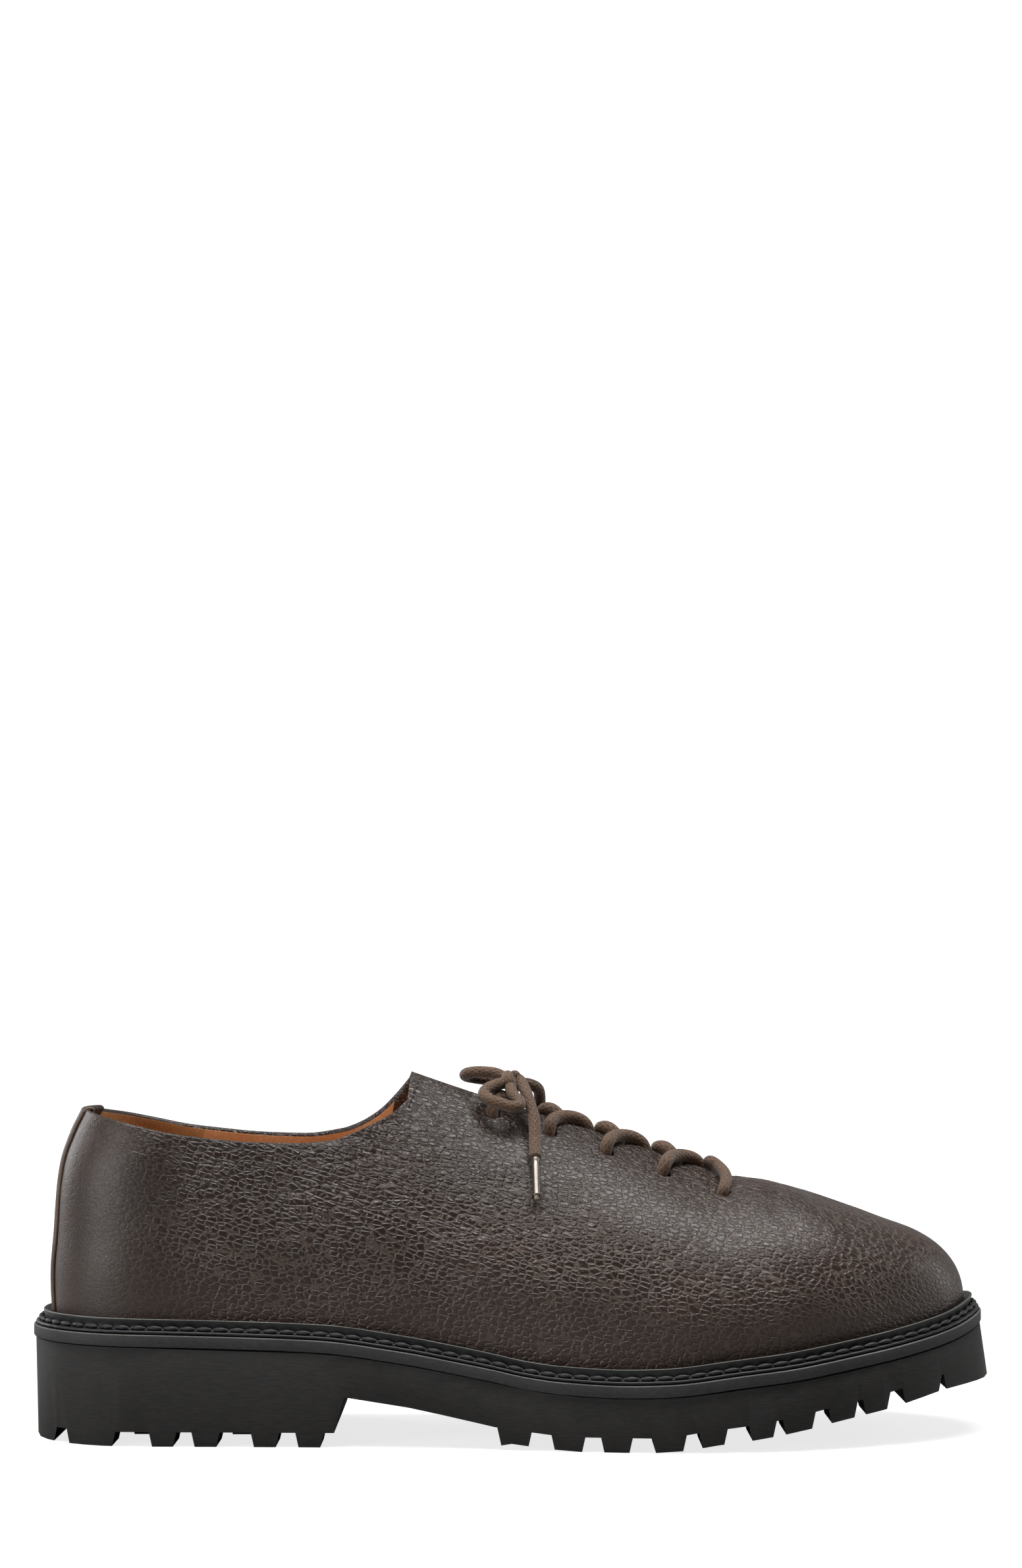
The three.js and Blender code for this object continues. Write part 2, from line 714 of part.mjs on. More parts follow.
// Cord of the bow through its chosen points
function bowCord(places, thick, steps) {
  return cord(places.map((place) => vector(...place)), thick, steps);
}

// Knot of the bow
function makeKnot() {
  const geometry = new THREE.SphereGeometry(1, 10, 7);
  geometry.scale(...knotSize);
  geometry.translate(...knotAt);
  return solidOf(geometry);
}

const leather = { color: 0x3f312c, roughness: 0.55, metalness: 0 };
const rubber = { color: 0x2b2a29, roughness: 0.8, metalness: 0 };
const bandRubber = { color: 0x37373a, roughness: 0.65, metalness: 0 };
const weltRubber = { color: 0x2a2c2f, roughness: 0.5, metalness: 0 };
const tanLeather = { color: 0xb9763c, roughness: 0.6, metalness: 0 };
const cotton = { color: 0x5a4635, roughness: 0.7, metalness: 0 };
const metal = { color: 0xb8b2aa, roughness: 0.3, metalness: 1 };

const shoe = new THREE.Group();

// Adds a solid to the shoe as a named mesh of its own
function piece(name, solid, finish) {
  const mesh = solid.getMesh();
  const geometry = new THREE.BufferGeometry();
  geometry.setAttribute('position', new THREE.BufferAttribute(new Float32Array(mesh.vertProperties), 3));
  geometry.setIndex(new THREE.BufferAttribute(new Uint32Array(mesh.triVerts), 1));
  geometry.computeVertexNormals();
  const part = new THREE.Mesh(geometry, new THREE.MeshStandardMaterial(finish));
  part.name = name;
  shoe.add(part);
}

piece('outsole', makeOutsole(), rubber);
piece('midsole', makeBand(), bandRubber);
piece('welt', makeWelt(), weltRubber);
piece('insole', makeInsole(), tanLeather);
piece('upper', makeUpper(), leather);
piece('back_strip', makeBackStrip(), leather);
piece('tongue', makeTongue(), leather);
eyeletShares.forEach((share, i) => {
  const makers = [makeRise, ...Array(eyeletPairs - 2).fill(makeCrossing), makeBar];
  piece(`lace_cross_${i + 1}`, makers[i](share), cotton);
});
piece('lace_knot', makeKnot(), cotton);
piece('lace_loop_outer', bowCord(nearLoop, laceThick, 14), cotton);
piece('lace_loop_inner', bowCord(farLoop, laceThick, 14), cotton);
piece('lace_end_outer', bowCord(nearEnd, laceThick, 8), cotton);
piece('lace_end_inner', bowCord(farEnd, laceThick, 8), cotton);
piece('lace_tip_outer', bowCord(nearTip, tipThick, 1), metal);
piece('lace_tip_inner', bowCord(farTip, tipThick, 1), metal);

export default shoe;
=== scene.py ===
# Right wholecut shoe in pebbled leather, tied with a waxed cotton lace, on a lugged rubber sole.
# Shapes are worked out in millimetres and become metres in the mesh. X runs to the toe, -Y is the outer side.
import bmesh
import bpy
import numpy as np
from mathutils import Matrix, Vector


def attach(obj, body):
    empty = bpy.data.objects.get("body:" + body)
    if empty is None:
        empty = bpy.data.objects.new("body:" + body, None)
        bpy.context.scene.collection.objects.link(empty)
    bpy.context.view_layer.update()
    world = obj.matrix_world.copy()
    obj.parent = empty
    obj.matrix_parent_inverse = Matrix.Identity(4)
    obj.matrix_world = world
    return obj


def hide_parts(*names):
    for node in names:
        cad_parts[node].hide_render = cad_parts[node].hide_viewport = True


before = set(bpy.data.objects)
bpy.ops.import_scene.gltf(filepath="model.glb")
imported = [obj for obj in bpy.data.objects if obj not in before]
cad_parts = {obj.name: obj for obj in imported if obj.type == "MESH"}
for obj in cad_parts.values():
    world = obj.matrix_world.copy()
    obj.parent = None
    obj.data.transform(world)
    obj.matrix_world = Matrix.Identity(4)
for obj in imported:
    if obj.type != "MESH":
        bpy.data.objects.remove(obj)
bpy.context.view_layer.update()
milli = 0.001

# Camera: level, a little above the instep, on the photograph's own distance
viewpoint = {"height": 140.0, "distance": 931.8, "aside": -0.6, "pixels": 4371.0, "long": 2380.0,
             "horizon": 322.0, "film": 36.0}
cameraData = bpy.data.cameras.new("camera")
cameraData.sensor_fit = "VERTICAL"
cameraData.sensor_height = viewpoint["film"]
cameraData.lens = viewpoint["film"] * viewpoint["pixels"] / viewpoint["long"]
cameraData.shift_y = viewpoint["horizon"] / viewpoint["long"]
camera = bpy.data.objects.new("camera", cameraData)
camera.location = (viewpoint["aside"] * milli, -viewpoint["distance"] * milli, viewpoint["height"] * milli)
camera.rotation_euler = (np.pi / 2, 0, 0)
bpy.context.scene.collection.objects.link(camera)
bpy.context.scene.camera = camera
print("camera placed")

# The shoe's driving sizes and tables. They are the solids' own, but for the eyelets' drop below the ridge and
# the tag's thickness, which the solids have as 6.2 and 2.9.
sole = {"length": 308.2, "ball": 104.0, "heel": 35.4, "band": 3.8, "lean": 2.1}
shell = {"inset": 5.5, "wall": 1.9, "instep": 116.4, "back": 105.3, "low": 94.4, "facing": 121.4,
         "throat": 226.0}
slit = {"wide": 3.6, "narrow": 1.6}
lacing = {"pairs": 5, "first": 148.0, "pitch": 18.2, "drop": 5.3, "bore": 4.4, "thick": 3.8, "pressed": 4.2,
          "tip": 2.6}
gap = 0.3
# Share of the section's turn that the plumb wall takes, up to the widest place
wallTurn = 0.16

planRows = [
    (0, 0.345, 0.345, -0.017), (0.13, 0.35, 0.35, -0.017), (0.28, 0.362, 0.345, -0.017),
    (0.42, 0.382, 0.325, -0.017), (0.5, 0.42, 0.362, -0.017), (0.6, 0.465, 0.435, -0.015),
    (0.68, 0.485, 0.482, -0.009), (0.76, 0.482, 0.492, 0.005), (0.86, 0.462, 0.468, 0.028),
    (1, 0.43, 0.44, 0.055),
]
heelRound = (0.125, 2.15)
toeRound = (0.27, 2.12)
bandRows = [
    (0, 1), (0.18, 0.972), (0.3, 0.938), (0.388, 0.842), (0.436, 0.768), (0.479, 0.7), (0.515, 0.638),
    (0.55, 0.602), (0.612, 0.579), (0.655, 0.59), (0.733, 0.669), (0.782, 0.718), (0.837, 0.794),
    (0.899, 0.884), (0.954, 0.986), (1, 1.125),
]
sectionRows = [
    (0, 1.31, 0.2, 0.95, 1), (0.13, 1.235, 0.22, 1.05, 1), (0.27, 1.115, 0.27, 1.3, 1),
    (0.395, 1, 0.29, 1.75, 1), (0.458, 0.944, 0.28, 1.8, 1), (0.528, 0.884, 0.27, 1.75, 1),
    (0.589, 0.833, 0.26, 1.7, 1), (0.642, 0.786, 0.25, 1.65, 1), (0.697, 0.737, 0.24, 1.55, 1),
    (0.734, 0.707, 0.23, 1.4, 1), (0.803, 0.674, 0.22, 1.12, 0.98), (0.872, 0.617, 0.22, 0.96, 0.95),
    (0.934, 0.56, 0.22, 0.9, 0.92), (1, 0.53, 0.22, 0.88, 0.92),
]
vampEnd = (0.082, 2.6)
footTuck = 0.035
backRows = [
    (0.3, 0.015), (0.48, 0.006), (0.62, 0.016), (0.75, 0.025), (0.83, 0.037), (0.92, 0.068), (1, 0.107),
    (1.4, 0.27),
]
backFade = 0.37
collarRows = [
    (-0.05, 0.103, 0.103), (0.049, 0.103, 0.103), (0.062, 0.089, 0.089), (0.084, 0.072, 0.076),
    (0.115, 0.05, 0.056), (0.146, 0.03, 0.037), (0.175, 0.018, 0.026), (0.232, 0.003, 0.011),
    (0.275, 0, 0.008), (0.316, 0.009, 0.025), (0.335, 0.029, 0.045), (0.357, 0.058, 0.085),
    (0.379, 0.095, 0.149), (0.391, 0.13, 0.192),
]


# Smooth curve through rows: a cubic between two rows whose slope at a row is the harmonic mean of
# the steps beside it, and nought where they point opposite ways; straight on past both ends.
def through(rows, column):
    at = np.array([row[0] for row in rows], float)
    value = np.array([row[column] for row in rows], float)
    step = np.diff(value) / np.diff(at)
    product = step[:-1] * step[1:]
    total = np.where(product > 0, step[:-1] + step[1:], 1)
    slope = np.concatenate([step[:1], np.where(product > 0, 2 * product / total, 0), step[-1:]])

    def curve(t):
        t = np.asarray(t, float)
        i = np.clip(np.searchsorted(at, t, side="right") - 1, 0, len(at) - 2)
        run = at[i + 1] - at[i]
        u = (t - at[i]) / run
        rise = value[i + 1] - value[i]
        bend = (slope[i] * run - rise) * (1 - u) + (rise - slope[i + 1] * run) * u
        inside = value[i] + u * rise + u * (1 - u) * bend
        before = value[0] + slope[0] * (t - at[0])
        after = value[-1] + slope[-1] * (t - at[-1])
        return np.where(t <= at[0], before, np.where(t >= at[-1], after, inside))

    return curve


halfLength = sole["length"] / 2
bandLength = sole["length"] - sole["lean"]
bandEnd = bandLength / sole["length"]
outerHalf, innerHalf, middleLine = (through(planRows, column) for column in (1, 2, 3))
bandShare = through(bandRows, 1)
ridgeShare, widestShare, acrossPower, upPower = (through(sectionRows, column) for column in (1, 2, 3, 4))
backShare = through(backRows, 1)
collarOver = {-1: through(collarRows, 1), 1: through(collarRows, 2)}


# Height of the band's top edge: the heel's height times its share
def bandTop(share):
    return sole["heel"] * bandShare(share)


# Rounding of an end: the power curve 1 - (1 - distance / reach) ^ power, to the power's root
def rounding(distance, end):
    t = np.maximum(0, 1 - distance / end[0])
    return np.maximum(0, 1 - t ** end[1]) ** (1 / end[1])


# Half width of the plan less its inset, rounded off at heel and toe
def planHalf(share, side, inset):
    half = sole["ball"] * np.where(np.asarray(side) < 0, outerHalf(share), innerHalf(share)) - inset
    return half * rounding(share, heelRound) * rounding(bandEnd - share, toeRound)


def planEdge(share, side, inset):
    return middleLine(share) * sole["ball"] + side * planHalf(share, side, inset)


def along(share, inset):
    return inset + (share / bandEnd) * (bandLength - 2 * inset) - halfLength


# Height of the section's foot, widest place and ridge at a share of the length
def levels(share, grow=0):
    base = bandTop(share)
    full = shell["instep"] * ridgeShare(share)
    top = base + (full - base) * rounding(bandEnd - share, vampEnd) + grow
    return base, base + (top - base) * widestShare(share), top


# Point of the upper: up a nearly plumb wall to the widest place, then a quarter turn whose sine gives
# the height and whose cosine, raised to the section's power, gives the width
def upperPoint(share, turn, side, grow=0.0):
    share, turn, side, grow = np.broadcast_arrays(*(np.asarray(v, float) for v in (share, turn, side, grow)))
    inset = shell["inset"] - grow
    base, widest, top = levels(share, grow)
    half = planHalf(share, side, inset)
    t = np.minimum(turn / wallTurn, 1)
    angle = np.clip((turn - wallTurn) / (1 - wallTurn), 0, 1) * np.pi / 2
    low = base + gap
    z = np.where(turn < wallTurn, low + (widest - low) * t,
                 widest + (top - widest) * np.sin(angle) ** upPower(share))
    y = half * np.where(turn < wallTurn, 1 - footTuck * (1 - t) ** 2,
                        np.maximum(0, np.cos(angle)) ** acrossPower(share))
    fade = np.maximum(0, 1 - share / backFade) ** 1.5
    x = along(share, inset) + fade * shell["back"] * backShare(z / shell["back"])
    return np.stack([x, middleLine(share) * sole["ball"] + side * y, z], -1)


# Turn of the section at a height, the inverse of the height's formula
def turnAtHeight(share, z, grow=0):
    base, widest, top = levels(share, grow)
    rise = np.clip((z - widest) / (top - widest), 0, 1) ** (1 / upPower(share))
    high = wallTurn + (1 - wallTurn) * np.arcsin(rise) / (np.pi / 2)
    return np.where(z < widest, wallTurn * np.clip((z - base - gap) / (widest - base - gap), 0, 1), high)


# Turn of the section at a distance out from its middle line, high on the section
def turnAtWidth(share, wide, side):
    half = planHalf(share, side, shell["inset"])
    angle = np.arccos(np.clip(wide / half, 0, 1) ** (1 / acrossPower(share)))
    return wallTurn + (1 - wallTurn) * angle / (np.pi / 2)


def turnBelowRidge(share, drop):
    base, widest, top = levels(share)
    return wallTurn + (1 - wallTurn) * np.arcsin(np.clip(1 - drop / (top - widest), 0, 1)) / (np.pi / 2)


def shareAt(place):
    return bandEnd * (place - shell["inset"]) / (bandLength - 2 * shell["inset"])


# Length along a row of points, from its first one
def lengthAlong(points):
    return np.concatenate([[0], np.cumsum(np.linalg.norm(np.diff(points, axis=0), axis=1))])


# Values that follow a line in even steps of its length
def evenly(points, values, count):
    run = lengthAlong(points)
    places = np.linspace(0, run[-1], count)
    return [np.interp(places, run, value) for value in values]


# Outward direction on a grid of points: the cross product of its two steps
def gridNormals(points, flip):
    a = np.gradient(points, axis=0)
    b = np.gradient(points, axis=1)
    n = np.cross(a, b) * (-1 if flip else 1)
    return n / np.maximum(np.linalg.norm(n, axis=-1, keepdims=True), 1e-9)


# Making meshes and materials
def hexColour(text):
    channel = np.array([int(text[i:i + 2], 16) for i in (1, 3, 5)]) / 255
    linear = np.where(channel <= 0.04045, channel / 12.92, ((channel + 0.055) / 1.055) ** 2.4)
    return (*[float(c) for c in linear], 1.0)


# Adds a node, sets its settings, and sets or links its inputs
def put(tree, kind, inputs=None, **settings):
    node = tree.nodes.new(kind)
    for name, value in settings.items():
        setattr(node, name, value)
    for name, value in (inputs or {}).items():
        if isinstance(value, bpy.types.NodeSocket):
            tree.links.new(value, node.inputs[name])
        else:
            node.inputs[name].default_value = value
    return node


def newMaterial(name):
    material = bpy.data.materials.new(name)
    material.use_nodes = True
    material.node_tree.nodes.clear()
    return material, material.node_tree


# Puts faces of a grid together: rows by columns, joined round where wrapped
def gridFaces(rows, columns, wrapRows=False, wrapColumns=False, start=0):
    r = np.arange(rows if wrapRows else rows - 1)
    c = np.arange(columns if wrapColumns else columns - 1)
    r, c = np.meshgrid(r, c, indexing="ij")
    r2, c2 = (r + 1) % rows, (c + 1) % columns
    quads = np.stack([r * columns + c, r * columns + c2, r2 * columns + c2, r2 * columns + c], -1)
    return quads.reshape(-1, 4) + start


def addPiece(name, points, faces, material, merge=0, faceMaterials=None, uv=None):
    mesh = bpy.data.meshes.new(name)
    mesh.from_pydata((np.asarray(points).reshape(-1, 3) * milli).tolist(), [], [list(f) for f in faces])
    for entry in material if isinstance(material, (list, tuple)) else [material]:
        mesh.materials.append(entry)
    if faceMaterials is not None:
        mesh.polygons.foreach_set("material_index", np.asarray(faceMaterials, np.int32))
    if uv is not None:
        layer = mesh.uv_layers.new(name="UVMap")
        loops = np.empty(len(mesh.loops), np.int32)
        mesh.loops.foreach_get("vertex_index", loops)
        layer.data.foreach_set("uv", np.asarray(uv, np.float32)[loops].reshape(-1))
    if merge:
        work = bmesh.new()
        work.from_mesh(mesh)
        bmesh.ops.remove_doubles(work, verts=work.verts, dist=merge * milli)
        bmesh.ops.recalc_face_normals(work, faces=work.faces)
        work.to_mesh(mesh)
        work.free()
    mesh.polygons.foreach_set("use_smooth", [True] * len(mesh.polygons))
    mesh.update()
    piece = bpy.data.objects.new(name, mesh)
    bpy.context.scene.collection.objects.link(piece)
    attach(piece, "root")
    return piece


# Materials
# Pebbled calf, milled and waxed: pillowed grain in a net of fine valleys, long creases where it flexes,
# half gloss. Smooth over the heel's counter and along the welt, finer at the toe. Sizes in millimetres.
# Colours: the darkest is painted shade in the grain's valleys, the rim colour is a painted highlight on the
# pebbles' rims, and the colour near the welt is a painted reflection of the pale floor
leatherLook = {"pebble": 1.5, "stretch": 1.75, "slant": 0.34, "fine": 0.7, "crease": 2.6, "creaseLong": 3.4,
               "depth": 0.24, "creaseDepth": 0.34, "valleyShade": "#1a100b", "base": "#281911", "light": "#3d2a21",
               "rim": "#65554b", "wearAndSheen": "#44352e", "rough": 0.35}


def pebbledCalf(name, look):
    material, tree = newMaterial(name)
    place = put(tree, "ShaderNodeTexCoord").outputs["Object"]
    axes = put(tree, "ShaderNodeSeparateXYZ", {"Vector": place}).outputs
    broad = put(tree, "ShaderNodeTexNoise", {"Vector": place, "Scale": 34.0, "Detail": 3.0}).outputs["Fac"]
    pores = put(tree, "ShaderNodeTexNoise", {"Vector": place, "Scale": 2400.0, "Detail": 3.0}).outputs["Fac"]

    # Grain's own space: turned to its slant, stretched along it and a little wandering
    spaces = []
    for size, long, drift in ((look["pebble"], look["stretch"], 0.7), (look["crease"], look["creaseLong"], 1.0)):
        size = size * milli
        turned = put(tree, "ShaderNodeMapping", {"Vector": place, "Rotation": (0, look["slant"], 0),
                                                 "Scale": (size * long, size, size)},
                     vector_type="TEXTURE").outputs[0]
        wander = put(tree, "ShaderNodeTexNoise", {"Vector": turned, "Scale": 0.6, "Detail": 2.0})
        spaces.append(put(tree, "ShaderNodeVectorMath", {0: wander.outputs["Color"], 1: (drift, drift, drift),
                                                         2: turned}, operation="MULTIPLY_ADD").outputs[0])
    pebbles, folds = spaces
    edge = put(tree, "ShaderNodeTexVoronoi", {"Vector": pebbles, "Scale": 1.0, "Randomness": 0.85},
               feature="DISTANCE_TO_EDGE").outputs[0]
    middle = put(tree, "ShaderNodeTexVoronoi", {"Vector": pebbles, "Scale": 1.0, "Randomness": 0.85},
                 feature="F1").outputs["Distance"]
    small = put(tree, "ShaderNodeTexVoronoi", {"Vector": pebbles, "Scale": look["pebble"] / look["fine"]},
                feature="DISTANCE_TO_EDGE").outputs[0]
    long = put(tree, "ShaderNodeTexVoronoi", {"Vector": folds, "Scale": 1.0},
               feature="DISTANCE_TO_EDGE").outputs[0]

    # Values worked out in order, each from numbers and from values above it. A ramp (SMOOTHSTEP or LINEAR)
    # goes from its fourth term to its fifth while the first runs from the second to the third.
    made = {"X": axes["X"], "Z": axes["Z"], "broad": broad, "pores": pores, "edge": edge, "middle": middle,
            "small": small, "long": long}
    steps = [
        # Zone of the grain: smooth over the heel's counter, finer at the toe, uneven, less at the welt
        ("aboveWelt", "SMOOTHSTEP", "Z", 0.036, 0.062),
        ("fromHeel", "SMOOTHSTEP", "X", -0.132, -0.08, 0.12, 1.0),
        ("toToe", "SMOOTHSTEP", "X", 0.07, 0.14, 1.0, 0.7),
        ("patchy", "SMOOTHSTEP", "broad", 0.34, 0.6, 0.78, 1.15),
        ("atWelt", "MULTIPLY_ADD", "aboveWelt", 0.3, 0.7),
        ("lengthwise", "MULTIPLY", "fromHeel", "toToe"),
        ("uneven", "MULTIPLY", "patchy", "atWelt"),
        ("zone", "MULTIPLY", "lengthwise", "uneven"),
        # Zone of the long creases: the quarter, in patches
        ("behind", "SMOOTHSTEP", "X", -0.02, 0.04, 1.0, 0.35),
        ("upTheWall", "SMOOTHSTEP", "Z", 0.045, 0.085, 0.15, 1.0),
        ("quarter", "MULTIPLY", "behind", "upTheWall"),
        ("creased", "MULTIPLY", "zone", "quarter"),
        ("patches", "SMOOTHSTEP", "broad", 0.32, 0.6, 0.2, 1.0),
        ("flexed", "MULTIPLY", "patches", "creased"),
        # Height: pillows with narrow valleys, finer grain on them, pores, and the long creases
        ("net", "SMOOTHSTEP", "edge", 0.0, 0.21),
        ("dome", "SUBTRACT", 0.7, "middle"),
        ("pillow", "MULTIPLY_ADD", "dome", 0.4, "net"),
        ("grain", "MULTIPLY", "pillow", "zone"),
        ("fineNet", "SMOOTHSTEP", "small", 0.0, 0.15),
        ("fineGrain", "MULTIPLY_ADD", "fineNet", 0.12, "grain"),
        ("height", "MULTIPLY_ADD", "pores", 0.1, "fineGrain"),
        ("furrow", "SMOOTHSTEP", "long", 0.0, 0.18),
        ("valleys", "MULTIPLY", "furrow", "flexed"),
        # Shares of the colours: the plateau over the painted shade in the valleys, painted highlights on the
        # pebbles' rims low on the wall, light patches, and a painted reflection of the floor near the welt
        ("belowNet", "SUBTRACT", "net", 1.0),
        ("valleyShadeDepth", "MULTIPLY", "zone", 0.6),
        ("plateauOverShade", "MULTIPLY_ADD", "belowNet", "valleyShadeDepth", 1.0),
        # Painted highlight: a light band along each pebble's rim, mostly low on the wall
        ("rimFrom", "SMOOTHSTEP", "edge", 0.0, 0.03),
        ("rimTo", "SMOOTHSTEP", "edge", 0.05, 0.13),
        ("rims", "SUBTRACT", "rimFrom", "rimTo"),
        ("lowDown", "SMOOTHSTEP", "Z", 0.05, 0.1, 0.95, 0.3),
        ("rimZone", "MULTIPLY", "zone", "lowDown"),
        ("rimHighlight", "MULTIPLY", "rims", "rimZone"),
        ("lighter", "SMOOTHSTEP", "broad", 0.42, 0.75, 0.0, 0.5),
        # Painted reflection of the pale floor: lighter towards the welt
        ("floorSheenFoot", "MULTIPLY_ADD", "aboveWelt", -0.5, 0.5),
        ("rough", "LINEAR", "height", 0.0, 1.3, look["rough"] + 0.14, look["rough"] - 0.05),
    ]
    for key, operation, *terms in steps:
        terms = [made.get(term, term) for term in terms]
        if operation in ("SMOOTHSTEP", "LINEAR"):
            sockets = dict(zip(("Value", "From Min", "From Max", "To Min", "To Max"), terms))
            node = put(tree, "ShaderNodeMapRange", sockets, interpolation_type=operation)
        else:
            node = put(tree, "ShaderNodeMath", dict(enumerate(terms)), operation=operation)
        made[key] = node.outputs[0]

    # Each colour is laid over the ones before it by its share
    # Painted shade first: the darkest colour lies in the valleys
    tone = hexColour(look["valleyShade"])
    for share, colour in (("plateauOverShade", "base"), ("rimHighlight", "rim"), ("lighter", "light"), ("floorSheenFoot", "wearAndSheen")):
        tone = put(tree, "ShaderNodeMix", {"Factor": made[share], 6: tone, 7: hexColour(look[colour])},
                   data_type="RGBA").outputs[2]
    pebbled = put(tree, "ShaderNodeBump", {"Height": made["height"], "Distance": look["depth"] * milli,
                                           "Strength": 1.0})
    folded = put(tree, "ShaderNodeBump", {"Height": made["valleys"], "Distance": look["creaseDepth"] * milli,
                                          "Strength": 1.0, "Normal": pebbled.outputs[0]})
    shader = put(tree, "ShaderNodeBsdfPrincipled", {"Base Color": tone, "Roughness": made["rough"],
                                                    "Normal": folded.outputs[0], "IOR": 1.5, "Coat Weight": 0.12,
                                                    "Coat Roughness": 0.32})
    put(tree, "ShaderNodeOutputMaterial", {"Surface": shader.outputs[0]})
    return material


# Plain finishes share one build: two tones in soft patches, a fine relief and its own gloss
def plainFinish(name, dark, light, rough, relief, grain, stretch=(1, 1, 1), metallic=0.0, sheen=0.0,
                streaks=0.5):
    material, tree = newMaterial(name)
    place = put(tree, "ShaderNodeTexCoord").outputs["Object"]
    scaled = put(tree, "ShaderNodeMapping", {"Vector": place, "Scale": tuple(1000 / grain * s for s in stretch)})
    fine = put(tree, "ShaderNodeTexNoise", {"Vector": scaled.outputs[0], "Scale": 1.0, "Detail": 4.0,
                                            "Roughness": 0.6})
    broad = put(tree, "ShaderNodeTexNoise", {"Vector": place, "Scale": 55.0, "Detail": 3.0})
    share = put(tree, "ShaderNodeMix", {"Factor": streaks, "A": broad.outputs["Fac"], "B": fine.outputs["Fac"]},
                data_type="FLOAT")
    spread = put(tree, "ShaderNodeMapRange", {"Value": share.outputs[0], "From Min": 0.36, "From Max": 0.64})
    tone = put(tree, "ShaderNodeMix", {"Factor": spread.outputs[0], 6: hexColour(dark), 7: hexColour(light)},
               data_type="RGBA")
    gloss = put(tree, "ShaderNodeMapRange", {"Value": fine.outputs["Fac"], "To Min": rough - 0.08,
                                             "To Max": min(1, rough + 0.1)})
    bump = put(tree, "ShaderNodeBump", {"Height": fine.outputs["Fac"], "Distance": relief * milli,
                                        "Strength": 1.0})
    shader = put(tree, "ShaderNodeBsdfPrincipled", {"Base Color": tone.outputs[2], "Roughness": gloss.outputs[0],
                                                    "Normal": bump.outputs[0], "Metallic": metallic,
                                                    "Sheen Weight": sheen, "IOR": 1.5})
    put(tree, "ShaderNodeOutputMaterial", {"Surface": shader.outputs[0]})
    return material


# Waxed braided cotton: two sets of yarns cross on the slant, dull and brown, with painted shade in the grooves
# between them, lighter where fibres stand up.
# UV is the turn round the lace and the length along it in millimetres.
laceLook = {"yarns": 9.0, "pick": 1.05, "lean": 2.2, "depth": 0.3, "valleyShade": "#2a1a0f", "base": "#614329",
            "light": "#8f6c45"}


def braidedCotton(name, look):
    material, tree = newMaterial(name)
    where = put(tree, "ShaderNodeUVMap", uv_map="UVMap").outputs[0]
    axes = put(tree, "ShaderNodeSeparateXYZ", {"Vector": where})
    ridges = []
    for way in (-1, 1):
        turned = put(tree, "ShaderNodeMath", {0: axes.outputs["X"], 1: look["yarns"] * way},
                     operation="MULTIPLY")
        total = put(tree, "ShaderNodeMath", {0: axes.outputs["Y"], 1: 1 / look["pick"] / look["lean"],
                                             2: turned.outputs[0]}, operation="MULTIPLY_ADD")
        wave = put(tree, "ShaderNodeMath", {0: total.outputs[0]}, operation="FRACT")
        ridges.append(put(tree, "ShaderNodeMath", {0: wave.outputs[0], 1: 0.5}, operation="SUBTRACT"))
    sharp = [put(tree, "ShaderNodeMath", {0: ridge.outputs[0]}, operation="ABSOLUTE") for ridge in ridges]
    braid = put(tree, "ShaderNodeMath", {0: sharp[0].outputs[0], 1: sharp[1].outputs[0]}, operation="MAXIMUM")
    fuzz = put(tree, "ShaderNodeTexNoise", {"Vector": put(tree, "ShaderNodeTexCoord").outputs["Object"],
                                            "Scale": 2200.0, "Detail": 3.0})
    height = put(tree, "ShaderNodeMath", {0: fuzz.outputs["Fac"], 1: 0.55, 2: braid.outputs[0]},
                 operation="MULTIPLY_ADD")
    # Painted shade: darker down in the grooves between the yarns, base colour on their crowns
    level = put(tree, "ShaderNodeMapRange", {"Value": height.outputs[0], "From Min": 0.3, "From Max": 0.8})
    tone = put(tree, "ShaderNodeMix", {"Factor": level.outputs[0], 6: hexColour(look["valleyShade"]),
                                       7: hexColour(look["base"])}, data_type="RGBA")
    wearAndSheen = put(tree, "ShaderNodeMapRange", {"Value": fuzz.outputs["Fac"], "From Min": 0.52, "From Max": 0.75,
                                            "To Max": 0.75})
    top = put(tree, "ShaderNodeMix", {"Factor": wearAndSheen.outputs[0], 6: tone.outputs[2],
                                      7: hexColour(look["light"])}, data_type="RGBA")
    bump = put(tree, "ShaderNodeBump", {"Height": height.outputs[0], "Distance": look["depth"] * milli,
                                        "Strength": 1.0})
    shader = put(tree, "ShaderNodeBsdfPrincipled", {"Base Color": top.outputs[2], "Roughness": 0.66,
                                                    "Normal": bump.outputs[0], "Sheen Weight": 0.25,
                                                    "Sheen Roughness": 0.5})
    put(tree, "ShaderNodeOutputMaterial", {"Surface": shader.outputs[0]})
    return material


calf = pebbledCalf("pebbledCalfDarkBrown", leatherLook)
# Cut edge of calf, dyed but rubbed back to the hide along its corner
calfEdge = plainFinish("calfCutEdge", "#4c3a2f", "#7b6858", 0.6, 0.1, 0.5)
# Smooth vegetable-tanned lining: tan, even, dull
lining = plainFinish("tannedLining", "#cf8c55", "#e8b282", 0.5, 0.06, 0.8, sheen=0.05)
# Suede heel grip: napped, no gloss, mottled where it was brushed
suede = plainFinish("suedeGrip", "#99683a", "#d09c60", 0.9, 0.22, 0.6, sheen=0.3)
# Moulded rubber, scoured along its side: fine level scratches, matt black
rubber = plainFinish("mouldedRubber", "#191817", "#2b2928", 0.78, 0.07, 0.4, stretch=(0.12, 0.12, 1.0),
                     streaks=0.8)
